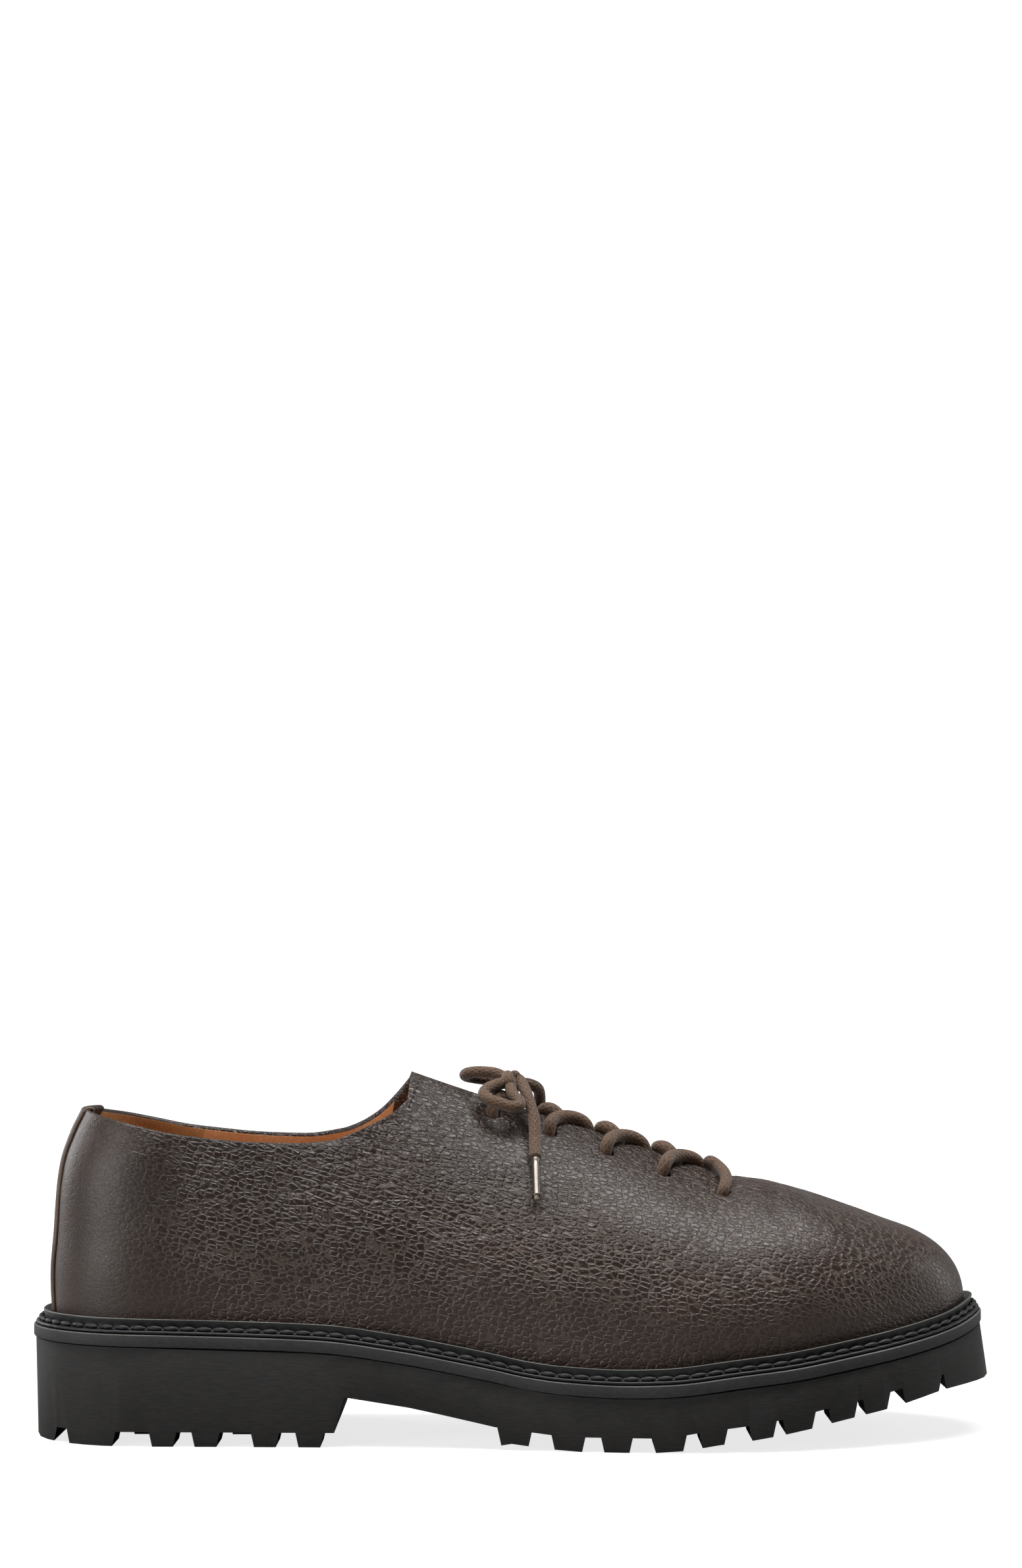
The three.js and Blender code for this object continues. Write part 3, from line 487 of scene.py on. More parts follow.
# Trimmed band: the same rubber ground flat, a little lighter
groundRubber = plainFinish("groundRubberBand", "#242425", "#373739", 0.7, 0.05, 0.35, stretch=(0.2, 0.2, 1.0),
                           streaks=0.7)
# Storm welt: smooth black with half gloss
weltBlack = plainFinish("stormWelt", "#0e0f11", "#1b1d20", 0.42, 0.05, 1.4)
# Its corner, rubbed light and given a painted highlight
weltWearAndHighlight = plainFinish("weltRubbedEdgeAndHighlight", "#3d3e3b", "#76766e", 0.6, 0.1, 0.6)
# Welt thread: black and waxed, told from the welt by its relief
thread = plainFinish("waxedThread", "#0b0b0c", "#1d1e20", 0.5, 0.08, 0.25)
# Facing thread: near the leather's own brown
brownThread = plainFinish("brownThread", "#1a110c", "#35261d", 0.6, 0.08, 0.25)
cotton = braidedCotton("waxedBraidedCotton", laceLook)
# Rolled steel tag: dull metal, brushed round by the rolling
tag = plainFinish("rolledSteelTag", "#5d5751", "#a19a92", 0.38, 0.02, 0.25, stretch=(1, 1, 0.1), metallic=1.0)
# Lace's frayed end: pale and fluffy in the tag's foot
frayed = plainFinish("frayedCotton", "#8f7c68", "#c9bba6", 0.9, 0.25, 0.4, sheen=0.4)
print("materials made")


# Lace
# Smooth line through chosen points, in even steps: a cubic between two points whose tangent at a
# point is half the step from the one before to the one after
def smoothLine(points, step):
    points = np.asarray(points, float)
    ahead = 2 * points[-1] - points[-2]
    behind = 2 * points[0] - points[1]
    full = np.vstack([behind, points, ahead])
    tangent = (full[2:] - full[:-2]) / 2
    t = np.linspace(0, 1, 24, endpoint=False)[:, None]
    parts = []
    for i in range(len(points) - 1):
        a, b, c, d = points[i], points[i + 1], tangent[i], tangent[i + 1]
        parts.append(a * (1 + 2 * t) * (1 - t) ** 2 + c * t * (1 - t) ** 2 + b * t * t * (3 - 2 * t)
                     - d * t * t * (1 - t))
    line = np.vstack(parts + [points[-1:]])
    count = max(4, int(lengthAlong(line)[-1] / step))
    return np.stack(evenly(line, line.T, count), -1)


# Frames along a line: each crosswise direction is the last one with its lengthwise share taken out
def framesAlong(line):
    forward = np.gradient(line, axis=0)
    forward /= np.linalg.norm(forward, axis=1, keepdims=True)
    first = np.cross(forward[0], (0.3, 0.2, 1))
    side = [first / np.linalg.norm(first)]
    for direction in forward[1:]:
        kept = side[-1] - direction * np.dot(side[-1], direction)
        side.append(kept / np.linalg.norm(kept))
    side = np.array(side)
    return forward, side, np.cross(forward, side)


# Tube: a circle of the given radius carried along the line, each end closed to a point half a radius out
def tube(line, radius, sides):
    forward, side, up = framesAlong(line)
    radius = np.broadcast_to(radius, len(line)).astype(float)
    turn = np.linspace(0, 2 * np.pi, sides, endpoint=False)
    ring = np.cos(turn)[None, :, None] * side[:, None] + np.sin(turn)[None, :, None] * up[:, None]
    points = (line[:, None] + ring * radius[:, None, None]).reshape(-1, 3)
    faces = gridFaces(len(line), sides, wrapColumns=True).tolist()
    uv = np.stack(np.broadcast_arrays(turn[None] / (2 * np.pi), lengthAlong(line)[:, None]), -1).reshape(-1, 2)
    ends = np.array([line[0] - forward[0] * radius[0] * 0.5, line[-1] + forward[-1] * radius[-1] * 0.5])
    start, last = len(points), (len(line) - 1) * sides
    faces += [[start, (i + 1) % sides, i] for i in range(sides)]
    faces += [[start + 1, last + i, last + (i + 1) % sides] for i in range(sides)]
    return np.vstack([points, ends]), faces, np.vstack([uv, [[0, 0], [0, uv[-1, 1]]]])


def addTube(name, line, radius, material, sides=16):
    points, faces, uv = tube(np.asarray(line, float), radius, sides)
    faces = [face[::-1] for face in faces]
    return addPiece(name, points, faces, material, uv=uv)


# The bow, one lace half each: out of the knot, round the loop, through the knot and down to its tag
bow = {
    "nearLoop": [(-1.6, -2.2, 112.2), (-4.5, -5, 111.7), (-7.9, -8.4, 110.5), (-9.3, -11, 108.8),
                 (-7.7, -13.6, 107.1), (-4.3, -15.2, 106), (-0.6, -15.9, 104.9), (1.9, -15, 105),
                 (2.1, -12.6, 106.4), (0.1, -9, 108.3), (-0.7, -5.6, 110.6)],
    "nearEnd": [(-0.5, -3, 112.4), (0.1, -1.3, 113.2), (1.8, -1.5, 113.1), (2.9, -3.6, 111.8),
                (4.4, -7.6, 108.7), (5.7, -11.4, 104.8), (6.8, -14.8, 100.4), (7, -18.4, 95), (7.05, -23.4, 89.3)],
    "nearTip": [(7.1, -23.8, 88.8), (7.4, -32.9, 77.6)],
    "farLoop": [(0.2, 1.2, 112.6), (-2.6, 2.6, 113.6), (-6, 3.6, 115), (-11, 5, 115.4), (-14.7, 7.2, 114.9),
                (-15.5, 10.4, 114), (-12.5, 13, 113.2), (-6.5, 13.2, 112.4), (-1.2, 10.4, 111.6),
                (1.6, 5.6, 110.9)],
    "farEnd": [(2.6, 2.4, 111.4), (4.9, 1.2, 111.6), (8.2, 3.6, 109.8), (8.8, 7.2, 105.4), (8.3, 10, 100.4),
               (7.7, 13, 95), (7.4, 17.6, 89.3)],
    "farTip": [(7.42, 18, 88.8), (7.8, 27, 75.8)],
    "knot": (-0.9, -1.6, 112.2), "knotWide": 3.0, "knotHigh": 2.0, "knotBack": 1.6, "knotLong": 3.2,
    "knotFrom": 0.6, "knotTo": 1.3, "knotRun": 8.8, "knotRows": 90, "step": 0.5,
}
tagLook = {"rows": 40, "sides": 24, "taper": 0.05, "crimp": 0.16, "crimpAt": 0.12, "crimpLong": 0.05,
           "wall": 0.28, "frayGap": 0.3, "frayOut": 0.8, "frayTaper": 0.75, "fraySides": 12}


# Rolled tag: a tube a little narrower than the lace, crimped near its top, open at its foot, with the
# lace's frayed end showing in it
def addTag(name, ends, node):
    look = tagLook
    a, b = (np.asarray(point, float) for point in ends)
    run = np.linspace(0, 1, look["rows"])[:, None]
    line = a + (b - a) * run
    wide = lacing["tip"] / 2 * (1 - look["taper"] * run[:, 0])
    wide -= look["crimp"] * np.exp(-((run[:, 0] - look["crimpAt"]) / look["crimpLong"]) ** 2)
    forward, side, up = framesAlong(line)
    turn = np.linspace(0, 2 * np.pi, look["sides"], endpoint=False)
    ring = np.cos(turn)[None, :, None] * side[:, None] + np.sin(turn)[None, :, None] * up[:, None]
    outer = line[:, None] + ring * wide[:, None, None]
    inner = line[:, None] + ring * (wide[:, None, None] - look["wall"])
    points = np.concatenate([outer, inner[::-1]])
    faces = gridFaces(len(points), look["sides"], wrapRows=True, wrapColumns=True)
    piece = addPiece(name, points, faces[:, ::-1], tag)
    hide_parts(node)
    out = (b - a) / np.linalg.norm(b - a)
    plug = line[2:] + out * np.linspace(0, look["frayOut"], len(line) - 2)[:, None]
    thick = (wide[2:] - look["frayGap"]) * np.linspace(1, look["frayTaper"], len(plug))
    addTube(name + "_fray", plug, thick, frayed, look["fraySides"])
    return piece


for name, node in (("near", "outer"), ("far", "inner")):
    line = smoothLine(bow[name + "Loop"] + bow[name + "End"], bow["step"])
    piece = addTube("lace_" + name, line, lacing["thick"] / 2, cotton)
    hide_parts("lace_loop_" + node, "lace_end_" + node)
    tip = addTag("lace_tag_" + name, bow[name + "Tip"], "lace_tip_" + node)

# Knot: the lace wound once and a half round the bow's middle, a slanting ring of lace over another
knotTurn = np.linspace(-bow["knotFrom"], 2 * np.pi * bow["knotTo"], bow["knotRows"])
knotShare = (knotTurn + bow["knotFrom"]) / bow["knotRun"]
knotLine = np.stack([bow["knot"][0] - bow["knotBack"] + bow["knotLong"] * knotShare,
                     bow["knot"][1] + bow["knotWide"] * np.cos(knotTurn),
                     bow["knot"][2] + bow["knotHigh"] * np.sin(knotTurn)], -1)
knot = addTube("lace_knot_wrap", knotLine, lacing["thick"] / 2, cotton)
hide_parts("lace_knot")


# Place of the lace over the upper: forward of an eyelet, a drop below the ridge, lifted off the leather
def lacePoint(share, forward, drop, side, lift=0.0):
    here = share + forward / (sole["length"] - 2 * shell["inset"])
    turn = turnBelowRidge(here, drop) if drop > 0 else 1.0
    return upperPoint(here, turn, side, lacing["thick"] / 2 + lift).reshape(3)


# Route of each strand over the upper: forward of its eyelet, drop as a share of the eyelet's, side as
# its own (1) or the other (-1) of the ridge, and lift. The near one runs forward along the ridge; the far
# one leans back, comes over and dives under it. The top pair goes up to the knot.
strandLook = {
    "near": [(-0.2, 0.8, 1, 0.1), (1.3, 0.45, 1, 0.1), (4.4, 0.14, 1, -0.1), (8.2, 0.0, 1, -0.3),
             (11.2, 0.06, -1, -0.9)],
    "far": [(-1.6, 0.6, 1, 0.0), (-2.3, 0.2, 1, 0.0), (0, 0, 1, 0.0), (2.6, 0.08, -1, -0.8)],
    "top": [(0.3, 0.7, 1, 0.1), (1.5, 0.3, 1, 0.4)], "topEnds": [(-1.9, 4.6, 106.9), (0.3, 1.6, 110.6)],
    "dive": (1.4, 0.4, 3.4), "holeBack": 0.6, "holeDrop": 0.95, "inside": (6.5, 4, 1.6), "step": 0.5,
}
# Last bar, from hole to hole: forward, drop as a share, side and lift
barRoute = [(0, 1, -1, -5), (0, 1, -1, -1.2), (0.5, 0.5, -1, 0.3), (-1.5, 0.1, -1, 0.4), (-4, 0, 1, 0.4),
            (-3.5, 0.4, 1, 0.3), (0, 1, 1, -1.2), (0, 1, 1, -5)]


def addStrand(name, share, side, route, ends=None):
    look = strandLook
    out = lacePoint(share, 0, lacing["drop"], side) - lacePoint(share, 0, lacing["drop"], side, -3)
    out /= np.linalg.norm(out)
    hole = lacePoint(share, -look["holeBack"], lacing["drop"] * look["holeDrop"], side)
    points = [hole - out * deep for deep in look["inside"]]
    points += [lacePoint(share, forward, drop * lacing["drop"], side * near, lift)
               for forward, drop, near, lift in route]
    ahead, across, down = look["dive"]
    points += ends or [points[-1] + np.array([ahead, -side * across, -down])]
    return addTube(name, smoothLine(points, look["step"]), lacing["pressed"] / 2, cotton)


eyeletShares = [float(shareAt(lacing["first"] + i * lacing["pitch"])) for i in range(lacing["pairs"])]
for i, share in enumerate(eyeletShares[:-1]):
    for side, which in ((-1, "near"), (1, "far")):
        ends = [np.array([x, side * y, z]) for x, y, z in strandLook["topEnds"]] if i == 0 else None
        strand = addStrand(f"lace_{which}_{i + 1}", share, side, strandLook["top" if i == 0 else which], ends)
        if side < 0:
            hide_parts(f"lace_cross_{i + 1}")
points = [lacePoint(eyeletShares[-1], forward, drop * lacing["drop"], side, lift)
          for forward, drop, side, lift in barRoute]
bar = addTube("lace_bar_5", smoothLine(points, strandLook["step"]), lacing["thick"] / 2, cotton)
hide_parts("lace_cross_5")
print("lace run through its eyelets")


# Upper
upperLook = {"collarColumns": 116, "facingColumns": 104, "vampColumns": 104, "outerRows": 78, "rimRows": 7,
             "innerRows": 22, "collarRoll": 0.95, "slitRoll": 0.35, "facedFrom": 105, "facedRows": 12,
             "suedeTo": -102.6, "cutEdgeFrom": 118, "collarShare": 0.42, "collarPasses": 40, "slitRound": 0.015,
             "facingFoot": 0.375, "rowCrowd": 0.92, "rollBlend": 4}


# Edge of the opening on one side as shares and turns: up the collar line, up the facing's short end,
# forward along the slit to the throat, then on along the ridge to the toe
def openingEdge(side):
    cornerAt = collarRows[-1][0] * sole["length"] - halfLength
    share = bandEnd * (1 - np.cos(np.linspace(0, np.pi / 2, 1500))) * upperLook["collarShare"]
    turn = np.full_like(share, 0.5)
    for _ in range(upperLook["collarPasses"]):
        x = upperPoint(share, turn, side)[:, 0]
        z = shell["low"] + shell["back"] * collarOver[side]((x + halfLength) / sole["length"])
        z = z - upperLook["collarRoll"]
        turn = 0.5 * turn + 0.5 * turnAtHeight(share, z)
    x = upperPoint(share, turn, side)[:, 0]
    keep = x < cornerAt
    collar = np.stack([share[keep], turn[keep]], -1)
    ridge = np.linspace(shareAt(shell["facing"]), shareAt(shell["throat"]), 800)
    place = np.linspace(0, 1, 800)
    wide = (slit["wide"] + (slit["narrow"] - slit["wide"]) * place) / 2
    past = np.maximum(0, (place - 0.985) / upperLook["slitRound"])
    wide = wide * np.sqrt(np.maximum(0, 1 - past ** 2))
    facing = np.stack([ridge, turnAtWidth(ridge, wide, side)], -1)
    corner = np.linspace(collar[-1], facing[0], 120)
    vamp = bandEnd - (bandEnd - ridge[-1]) * np.linspace(1, 0, 2500) ** 2.4
    vampEdge = np.stack([vamp, np.ones_like(vamp)], -1)
    return collar, np.vstack([corner[1:], facing[1:]]), vampEdge


# One side of the upper as a grid of shares and turns: each column runs from the foot to the edge
def sideColumns(side):
    sections = openingEdge(side)
    footEnds = [0, upperLook["facingFoot"], shareAt(shell["throat"]), bandEnd]
    counts = [upperLook["collarColumns"], upperLook["facingColumns"], upperLook["vampColumns"]]
    edges, feet = [], []
    for i, (section, count) in enumerate(zip(sections, counts)):
        points = upperPoint(section[:, 0], section[:, 1], side)
        edges.append(np.stack(evenly(points, section.T, count), -1))
        foot = np.linspace(footEnds[i], footEnds[i + 1], 2000)
        if i == 2:
            foot = bandEnd - (bandEnd - footEnds[2]) * np.linspace(1, 0, 2000) ** 3
        if i == 0:
            foot = footEnds[1] * np.linspace(0, 1, 2000) ** 3
        line = upperPoint(foot, 0, side)
        feet.append(evenly(line, [foot], count)[0])
    edge = np.vstack([edges[0], edges[1][1:], edges[2][1:]])
    foot = np.concatenate([feet[0], feet[1][1:], feet[2][1:]])
    return edge, foot, counts[0] - 1, counts[0] + counts[1] - 2


# Soft creases: each is a line in the side view, from and to in millimetres along and up, with its
# width and its depth; troughs are negative and ridges positive
creases = {
    -1: [((76, 84), (92, 71), 3.2, -0.5), ((80, 86), (104, 74), 3.6, 0.45), ((84, 84), (100, 67), 2.6, -0.35),
         ((73, 80), (82, 62), 4, -0.35), ((92, 82), (112, 76), 3.4, -0.3), ((52, 74), (66, 58), 5, -0.3),
         ((-58, 92), (-40, 66), 7, -0.5), ((-30, 84), (-8, 60), 8, -0.4), ((-44, 84), (-24, 54), 6, 0.35),
         ((-20, 62), (20, 52), 6, -0.3), ((-10, 50), (34, 44), 5, -0.25), ((104, 62), (124, 52), 5, -0.25)],
    1: [((76, 84), (93, 70), 3.4, -0.45), ((81, 86), (103, 75), 3.6, 0.4), ((-56, 96), (-42, 68), 7, -0.5),
        ((-30, 82), (-8, 56), 8, -0.4), ((-16, 60), (24, 50), 6, -0.3), ((60, 74), (72, 58), 5, -0.3)],
}


# Depth of the creases at points: a bell across each line, fading past both of its ends
def creaseDepth(x, z, side):
    depth = np.zeros_like(x)
    for (x0, z0), (x1, z1), wide, deep in creases[side]:
        run = np.array([x1 - x0, z1 - z0], float)
        long = np.linalg.norm(run)
        run /= long
        t = (x - x0) * run[0] + (z - z0) * run[1]
        off = -(x - x0) * run[1] + (z - z0) * run[0]
        past = np.maximum(0, np.maximum(-t, t - long))
        depth += deep * np.exp(-(off / wide) ** 2) * np.exp(-(past / (1.3 * wide)) ** 2)
    return depth


# Low swells of milled leather: three slow waves of different slant
def swells(x, z):
    return (0.16 * np.sin(x / 7.3 + 0.4 * z / 5) + 0.14 * np.sin(z / 5.7 - x / 17 + 1.3)
            + 0.12 * np.sin((x + z) / 11.9 + 2.1))


# One side of the wall: outer face, rolled rim and inner face as rows over the columns, and the throat's column
def sideWall(side):
    edge, foot, cornerColumn, throatColumn = sideColumns(side)
    look = upperLook
    v = np.linspace(0, 1, look["outerRows"])[:, None] ** look["rowCrowd"]
    share = foot[None] * (1 - v) + edge[None, :, 0] * v
    turn = edge[None, :, 1] * v
    outer = upperPoint(share, turn, side)
    normal = gridNormals(outer, side > 0)
    fade = np.clip((1 - v) / 0.05, 0, 1) * np.clip(v / 0.12, 0, 1)
    fade = fade * np.clip((bandEnd - share) / 0.06, 0, 1) * np.clip(share / 0.02, 0, 1)
    depth = creaseDepth(outer[..., 0], outer[..., 2], side) + swells(outer[..., 0], outer[..., 2])
    outer = outer + normal * (depth * fade)[..., None]
    vIn = np.linspace(1, 0, look["innerRows"])[:, None]
    shareIn = foot[None] * (1 - vIn) + edge[None, :, 0] * vIn
    inner = upperPoint(shareIn, edge[None, :, 1] * vIn, side, -shell["wall"])
    # Rim: half a turn from the outer edge to the inner one, pushed out along the wall
    top, low = outer[-1], inner[0]
    onward = outer[-1] - outer[-3]
    onward /= np.maximum(np.linalg.norm(onward, axis=1, keepdims=True), 1e-9)
    column = np.arange(len(top))
    roll = np.where(column <= cornerColumn, look["collarRoll"], look["slitRoll"]).astype(float)
    blend = look["rollBlend"]
    span = 2 * blend + 1
    roll = np.convolve(np.pad(roll, blend, mode="edge"), np.ones(span) / span, mode="valid")
    roll = roll * np.clip((throatColumn - column) / blend, 0, 1)
    phi = np.linspace(0, np.pi, look["rimRows"] + 2)[1:-1, None, None]
    rim = (top + low) / 2 + (top - low) / 2 * np.cos(phi) + onward * roll[:, None] * np.sin(phi)
    return outer, rim, inner, throatColumn


# Both sides joined at heel and ridge. Finishes: 0 calf, 1 lining, 2 suede at the heel, 3 cut edge.
def addUpper():
    points, faces, finish = [], [], []
    start = 0
    for side in (-1, 1):
        outer, rim, inner, throatColumn = sideWall(side)
        grid = np.concatenate([outer, rim, inner])
        rows, columns = grid.shape[:2]
        quads = gridFaces(rows, columns, start=start).reshape(rows - 1, columns - 1, 4)
        if side < 0:
            quads = quads[..., ::-1]
        row, column = np.meshgrid(np.arange(rows - 1), np.arange(columns - 1), indexing="ij")
        overRim = (row >= len(outer) - 1) & (row < len(outer) + len(rim))
        keep = ~(overRim & (column >= throatColumn))
        onLining = row >= len(outer) + len(rim) - 1
        behind = grid[row, column, 0] < upperLook["suedeTo"]
        kind = np.where(onLining, np.where(behind, 2, 1), 0)
        facing = (column >= upperLook["facedFrom"]) & (row < len(outer) + len(rim) + upperLook["facedRows"])
        kind = np.where(onLining & facing, 0, kind)
        kind = np.where(overRim & (row > len(outer)) & (column > upperLook["cutEdgeFrom"]), 3, kind)
        faces.append(quads[keep])
        finish.append(kind[keep])
        base = gridFaces(2, columns, start=0)
        under = np.where(base < columns, base + start, base - columns + start + (rows - 1) * columns)
        faces.append(under if side < 0 else under[:, ::-1])
        finish.append(np.zeros(len(under), int))
        points.append(grid.reshape(-1, 3))
        start += rows * columns
    piece = addPiece("upper_leather", np.vstack(points), np.vstack(faces), [calf, lining, suede, calfEdge],
                     merge=0.004, faceMaterials=np.concatenate(finish))
    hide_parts("upper")
    return piece


punch = {"sides": 20, "reach": 5.0}


# Punched eyelets: round bars square to the wall are taken out of it
def punchEyelets(piece):
    sides, reach = punch["sides"], punch["reach"]
    turn = np.linspace(0, 2 * np.pi, sides, endpoint=False)
    points, faces = [], []
    for share in eyeletShares:
        for side in (-1, 1):
            middle = upperPoint(share, turnBelowRidge(share, lacing["drop"]), side).reshape(3)
            onward = upperPoint(share + 0.004, turnBelowRidge(share, lacing["drop"]), side).reshape(3) - middle
            upward = upperPoint(share, turnBelowRidge(share, lacing["drop"] * 0.8), side).reshape(3) - middle
            onward /= np.linalg.norm(onward)
            upward -= onward * np.dot(upward, onward)
            upward /= np.linalg.norm(upward)
            outward = np.cross(onward, upward)
            ring = lacing["bore"] / 2 * (np.cos(turn)[:, None] * onward + np.sin(turn)[:, None] * upward)
            start = len(points) * 2 * sides
            points.append(np.concatenate([middle + ring - outward * reach, middle + ring + outward * reach]))
            bar = gridFaces(2, sides, wrapColumns=True, start=start).tolist()
            bar += [list(range(start, start + sides)), list(range(start + 2 * sides - 1, start + sides - 1, -1))]
            faces += [face[::-1] for face in bar]
    bars = addPiece("eyelet_bars", np.concatenate(points), faces, calfEdge, merge=0.0001)
    cut = piece.modifiers.new("eyelets", "BOOLEAN")
    cut.operation, cut.solver, cut.object = "DIFFERENCE", "EXACT", bars
    bpy.context.view_layer.update()
    result = bpy.data.meshes.new_from_object(piece.evaluated_get(bpy.context.evaluated_depsgraph_get()))
    piece.modifiers.clear()
    piece.data = result
    bpy.data.objects.remove(bars)


upper = addUpper()
punchEyelets(upper)
print("upper made:", len(upper.data.polygons), "faces")


# Welt, band and outsole
# Closed line round the sole as shares and sides, in even steps of the edge's length: from the heel
# to the toe on the outer side and back on the inner one
def roundSole(count):
    halves = []
    for side in (-1, 1):
        share = bandEnd * (1 - np.cos(np.linspace(0, np.pi, 6000))) / 2
        line = np.stack([along(share, 0), planEdge(share, side, 0), 0 * share], -1)
        halves.append(evenly(line, [share], count // 2 + 1)[0])
    share = np.concatenate([halves[0], halves[1][::-1][1:-1]])
    side = np.concatenate([-np.ones(len(halves[0])), np.ones(len(halves[1]) - 2)])
    return share, side


# Profile carried round the sole: each of its points is an inset from the band's edge and a rise over
# the band's top
def carriedRound(share, side, profile):
    rings = []
    for inset, rise in profile:
        inset, rise = np.broadcast_to(inset, share.shape), np.broadcast_to(rise, share.shape)
        rings.append(np.stack([along(share, inset), planEdge(share, side, inset), bandTop(share) + rise], -1))
    return np.stack(rings, 1)


def addRound(name, count, profile, materials, kinds, node):
    share, side = roundSole(count)
    profile = profile(share, side) if callable(profile) else profile
    points = carriedRound(share, side, profile)
    faces = gridFaces(len(share), len(profile), wrapRows=True, wrapColumns=True)
    piece = addPiece(name, points, faces, materials, merge=0.0005,
                     faceMaterials=np.tile(kinds, len(share)))
    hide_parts(node)


# Band: a flat face with small corners, the upper one rubbed light and given a painted highlight
bandLook = {"deep": 12.0, "count": 760, "wearAndSheen": 6}
bandProfile = [(bandLook["deep"], -sole["band"]), (0.7, -sole["band"]), (0.2, -sole["band"] + 0.12),
               (0, -sole["band"] + 0.45), (0, -1.9), (0, -0.42), (0.1, -0.16), (0.42, 0), (1.2, 0),
               (bandLook["deep"], 0)]
addRound("midsole_band", bandLook["count"], bandProfile, [groundRubber, weltWearAndHighlight],
         [int(i == bandLook["wearAndSheen"]) for i in range(len(bandProfile))], "midsole")

weltLook = {"edge": 0.85, "scallop": 0.16, "pitch": 5.15, "count": 1500, "stitchAt": 2.35, "stitchRise": 1.95,
            "stitchLong": 4.9, "stitchWide": 1.0, "stitchHigh": 0.85, "lean": 0.5, "rows": 17, "wearAndSheen": 11}


# Welt: a flange with a shallow wave along its edge, a channel for the stitches, and a lip that
# flares out as it rises and lies against the upper behind
def weltProfile(share, side):
    line = carriedRound(share, side, [(0, 0)])[:, 0]
    run = lengthAlong(line)
    total = run[-1] + np.linalg.norm(line[0] - line[-1])
    waves = round(total / weltLook["pitch"])
    wave = weltLook["scallop"] * np.abs(np.sin(np.pi * waves * run / total)) ** 0.7
    lipWave = 0.12 * np.sin(2 * np.pi * 7 * run / total + 0.6) + 0.07 * np.sin(2 * np.pi * 19 * run / total)
    edge = weltLook["edge"] - wave
    return [(8.5, 0.3), (edge + 0.25, 0.3), (edge, 0.5), (edge, 0.95 + 0 * wave), (edge + 0.3, 1.2), (1.7, 1.22),
            (2.7, 1.3), (3.3, 1.75), (3.35, 2.5), (3.15, 3.4), (2.95 + lipWave, 4.2), (2.9 + lipWave, 4.5),
            (3.15 + lipWave, 4.72), (3.6 + lipWave, 4.7), (4.2 + lipWave, 4.35), (5.2, 3.4), (8.5, 2.6)]


# The lip's top row is rubbed light and carries a painted highlight
addRound("storm_welt", weltLook["count"], weltProfile, [weltBlack, weltWearAndHighlight],
         [int(i == weltLook["wearAndSheen"]) for i in range(weltLook["rows"])], "welt")

grainLook = {"rows": 7, "sides": 6, "blunt": 0.55, "end": 0.03}


# Row of stitches: each a rounded grain laid along a line, its width and height following a half sine
def stitchRow(centres, forward, outward, upward, long, wide, high, slant=0.0):
    rows, sides = grainLook["rows"], grainLook["sides"]
    t = np.linspace(0, 1, rows)
    size = np.sin(np.pi * np.clip(t, grainLook["end"], 1 - grainLook["end"])) ** grainLook["blunt"]
    turn = np.linspace(0, 2 * np.pi, sides, endpoint=False)
    x = (t - 0.5) * long
    y = np.cos(turn)[None] * wide * size[:, None] + slant * (t[:, None] - 0.5)
    z = np.sin(turn)[None] * high * size[:, None]
    points = (centres[:, None, None] + forward[:, None, None] * x[None, :, None, None]
              + outward[:, None, None] * y[None, :, :, None] + upward[:, None, None] * z[None, :, :, None])
    count = rows * sides
    one = gridFaces(rows, sides, wrapColumns=True).tolist()
    one += [list(range(sides)), list(range(count - 1, count - sides - 1, -1))]
    faces = [[v + count * i for v in face[::-1]] for i in range(len(centres)) for face in one]
    return points.reshape(-1, 3), faces


def addWeltStitches():
    share, side = roundSole(weltLook["count"])
    line = carriedRound(share, side, [(weltLook["stitchAt"], weltLook["stitchRise"])])[:, 0]
    closed = np.vstack([line, line[:1]])
    run = lengthAlong(closed)
    count = round(run[-1] / weltLook["pitch"])
    places = (np.arange(count) + 0.5) * run[-1] / count
    centres = np.stack([np.interp(places, run, closed[:, k]) for k in range(3)], -1)
    ahead = np.stack([np.interp((places + 1) % run[-1], run, closed[:, k]) for k in range(3)], -1)
    forward = ahead - centres
    forward /= np.linalg.norm(forward, axis=1, keepdims=True)
    outward = np.cross(forward, (0, 0, 1))
    outward /= np.linalg.norm(outward, axis=1, keepdims=True)
    upward = np.cross(outward, forward)
    points, faces = stitchRow(centres, forward, outward, upward, weltLook["stitchLong"], weltLook["stitchWide"],
                              weltLook["stitchHigh"], slant=weltLook["lean"])
    addPiece("welt_stitches", points, faces, thread)


addWeltStitches()

facingSeam = {"from": (-29.6, 114.3), "to": (-33.2, 104.6), "count": 7, "long": 1.25, "wide": 0.36, "high": 0.4,
              "lift": 0.35}


# Bar of stitches beside each facing's short edge: grains along a line on the upper, half sunk
def addFacingStitches():
    look = facingSeam
    points, faces = [], []
    for side in (-1, 1):
        x, z = (np.linspace(look["from"][k], look["to"][k], look["count"] + 1) for k in (0, 1))
        share = shareAt(x + halfLength)
        for _ in range(6):
            line = upperPoint(share, turnAtHeight(share, z, look["lift"]), side, look["lift"])
            share = share + (x - line[:, 0]) / sole["length"]
        centres = (line[1:] + line[:-1]) / 2
        forward = np.diff(line, axis=0)
        forward /= np.linalg.norm(forward, axis=1, keepdims=True)
        across = np.cross(forward, (0, side, 0.4))
        across /= np.linalg.norm(across, axis=1, keepdims=True)
        outward = np.cross(across, forward)
        more, moreFaces = stitchRow(centres, forward, across, outward, look["long"], look["wide"], look["high"])
        faces += [[v + len(points) * len(more) for v in face] for face in moreFaces]
        points.append(more)
    addPiece("facing_stitches", np.concatenate(points), faces, brownThread)


addFacingStitches()


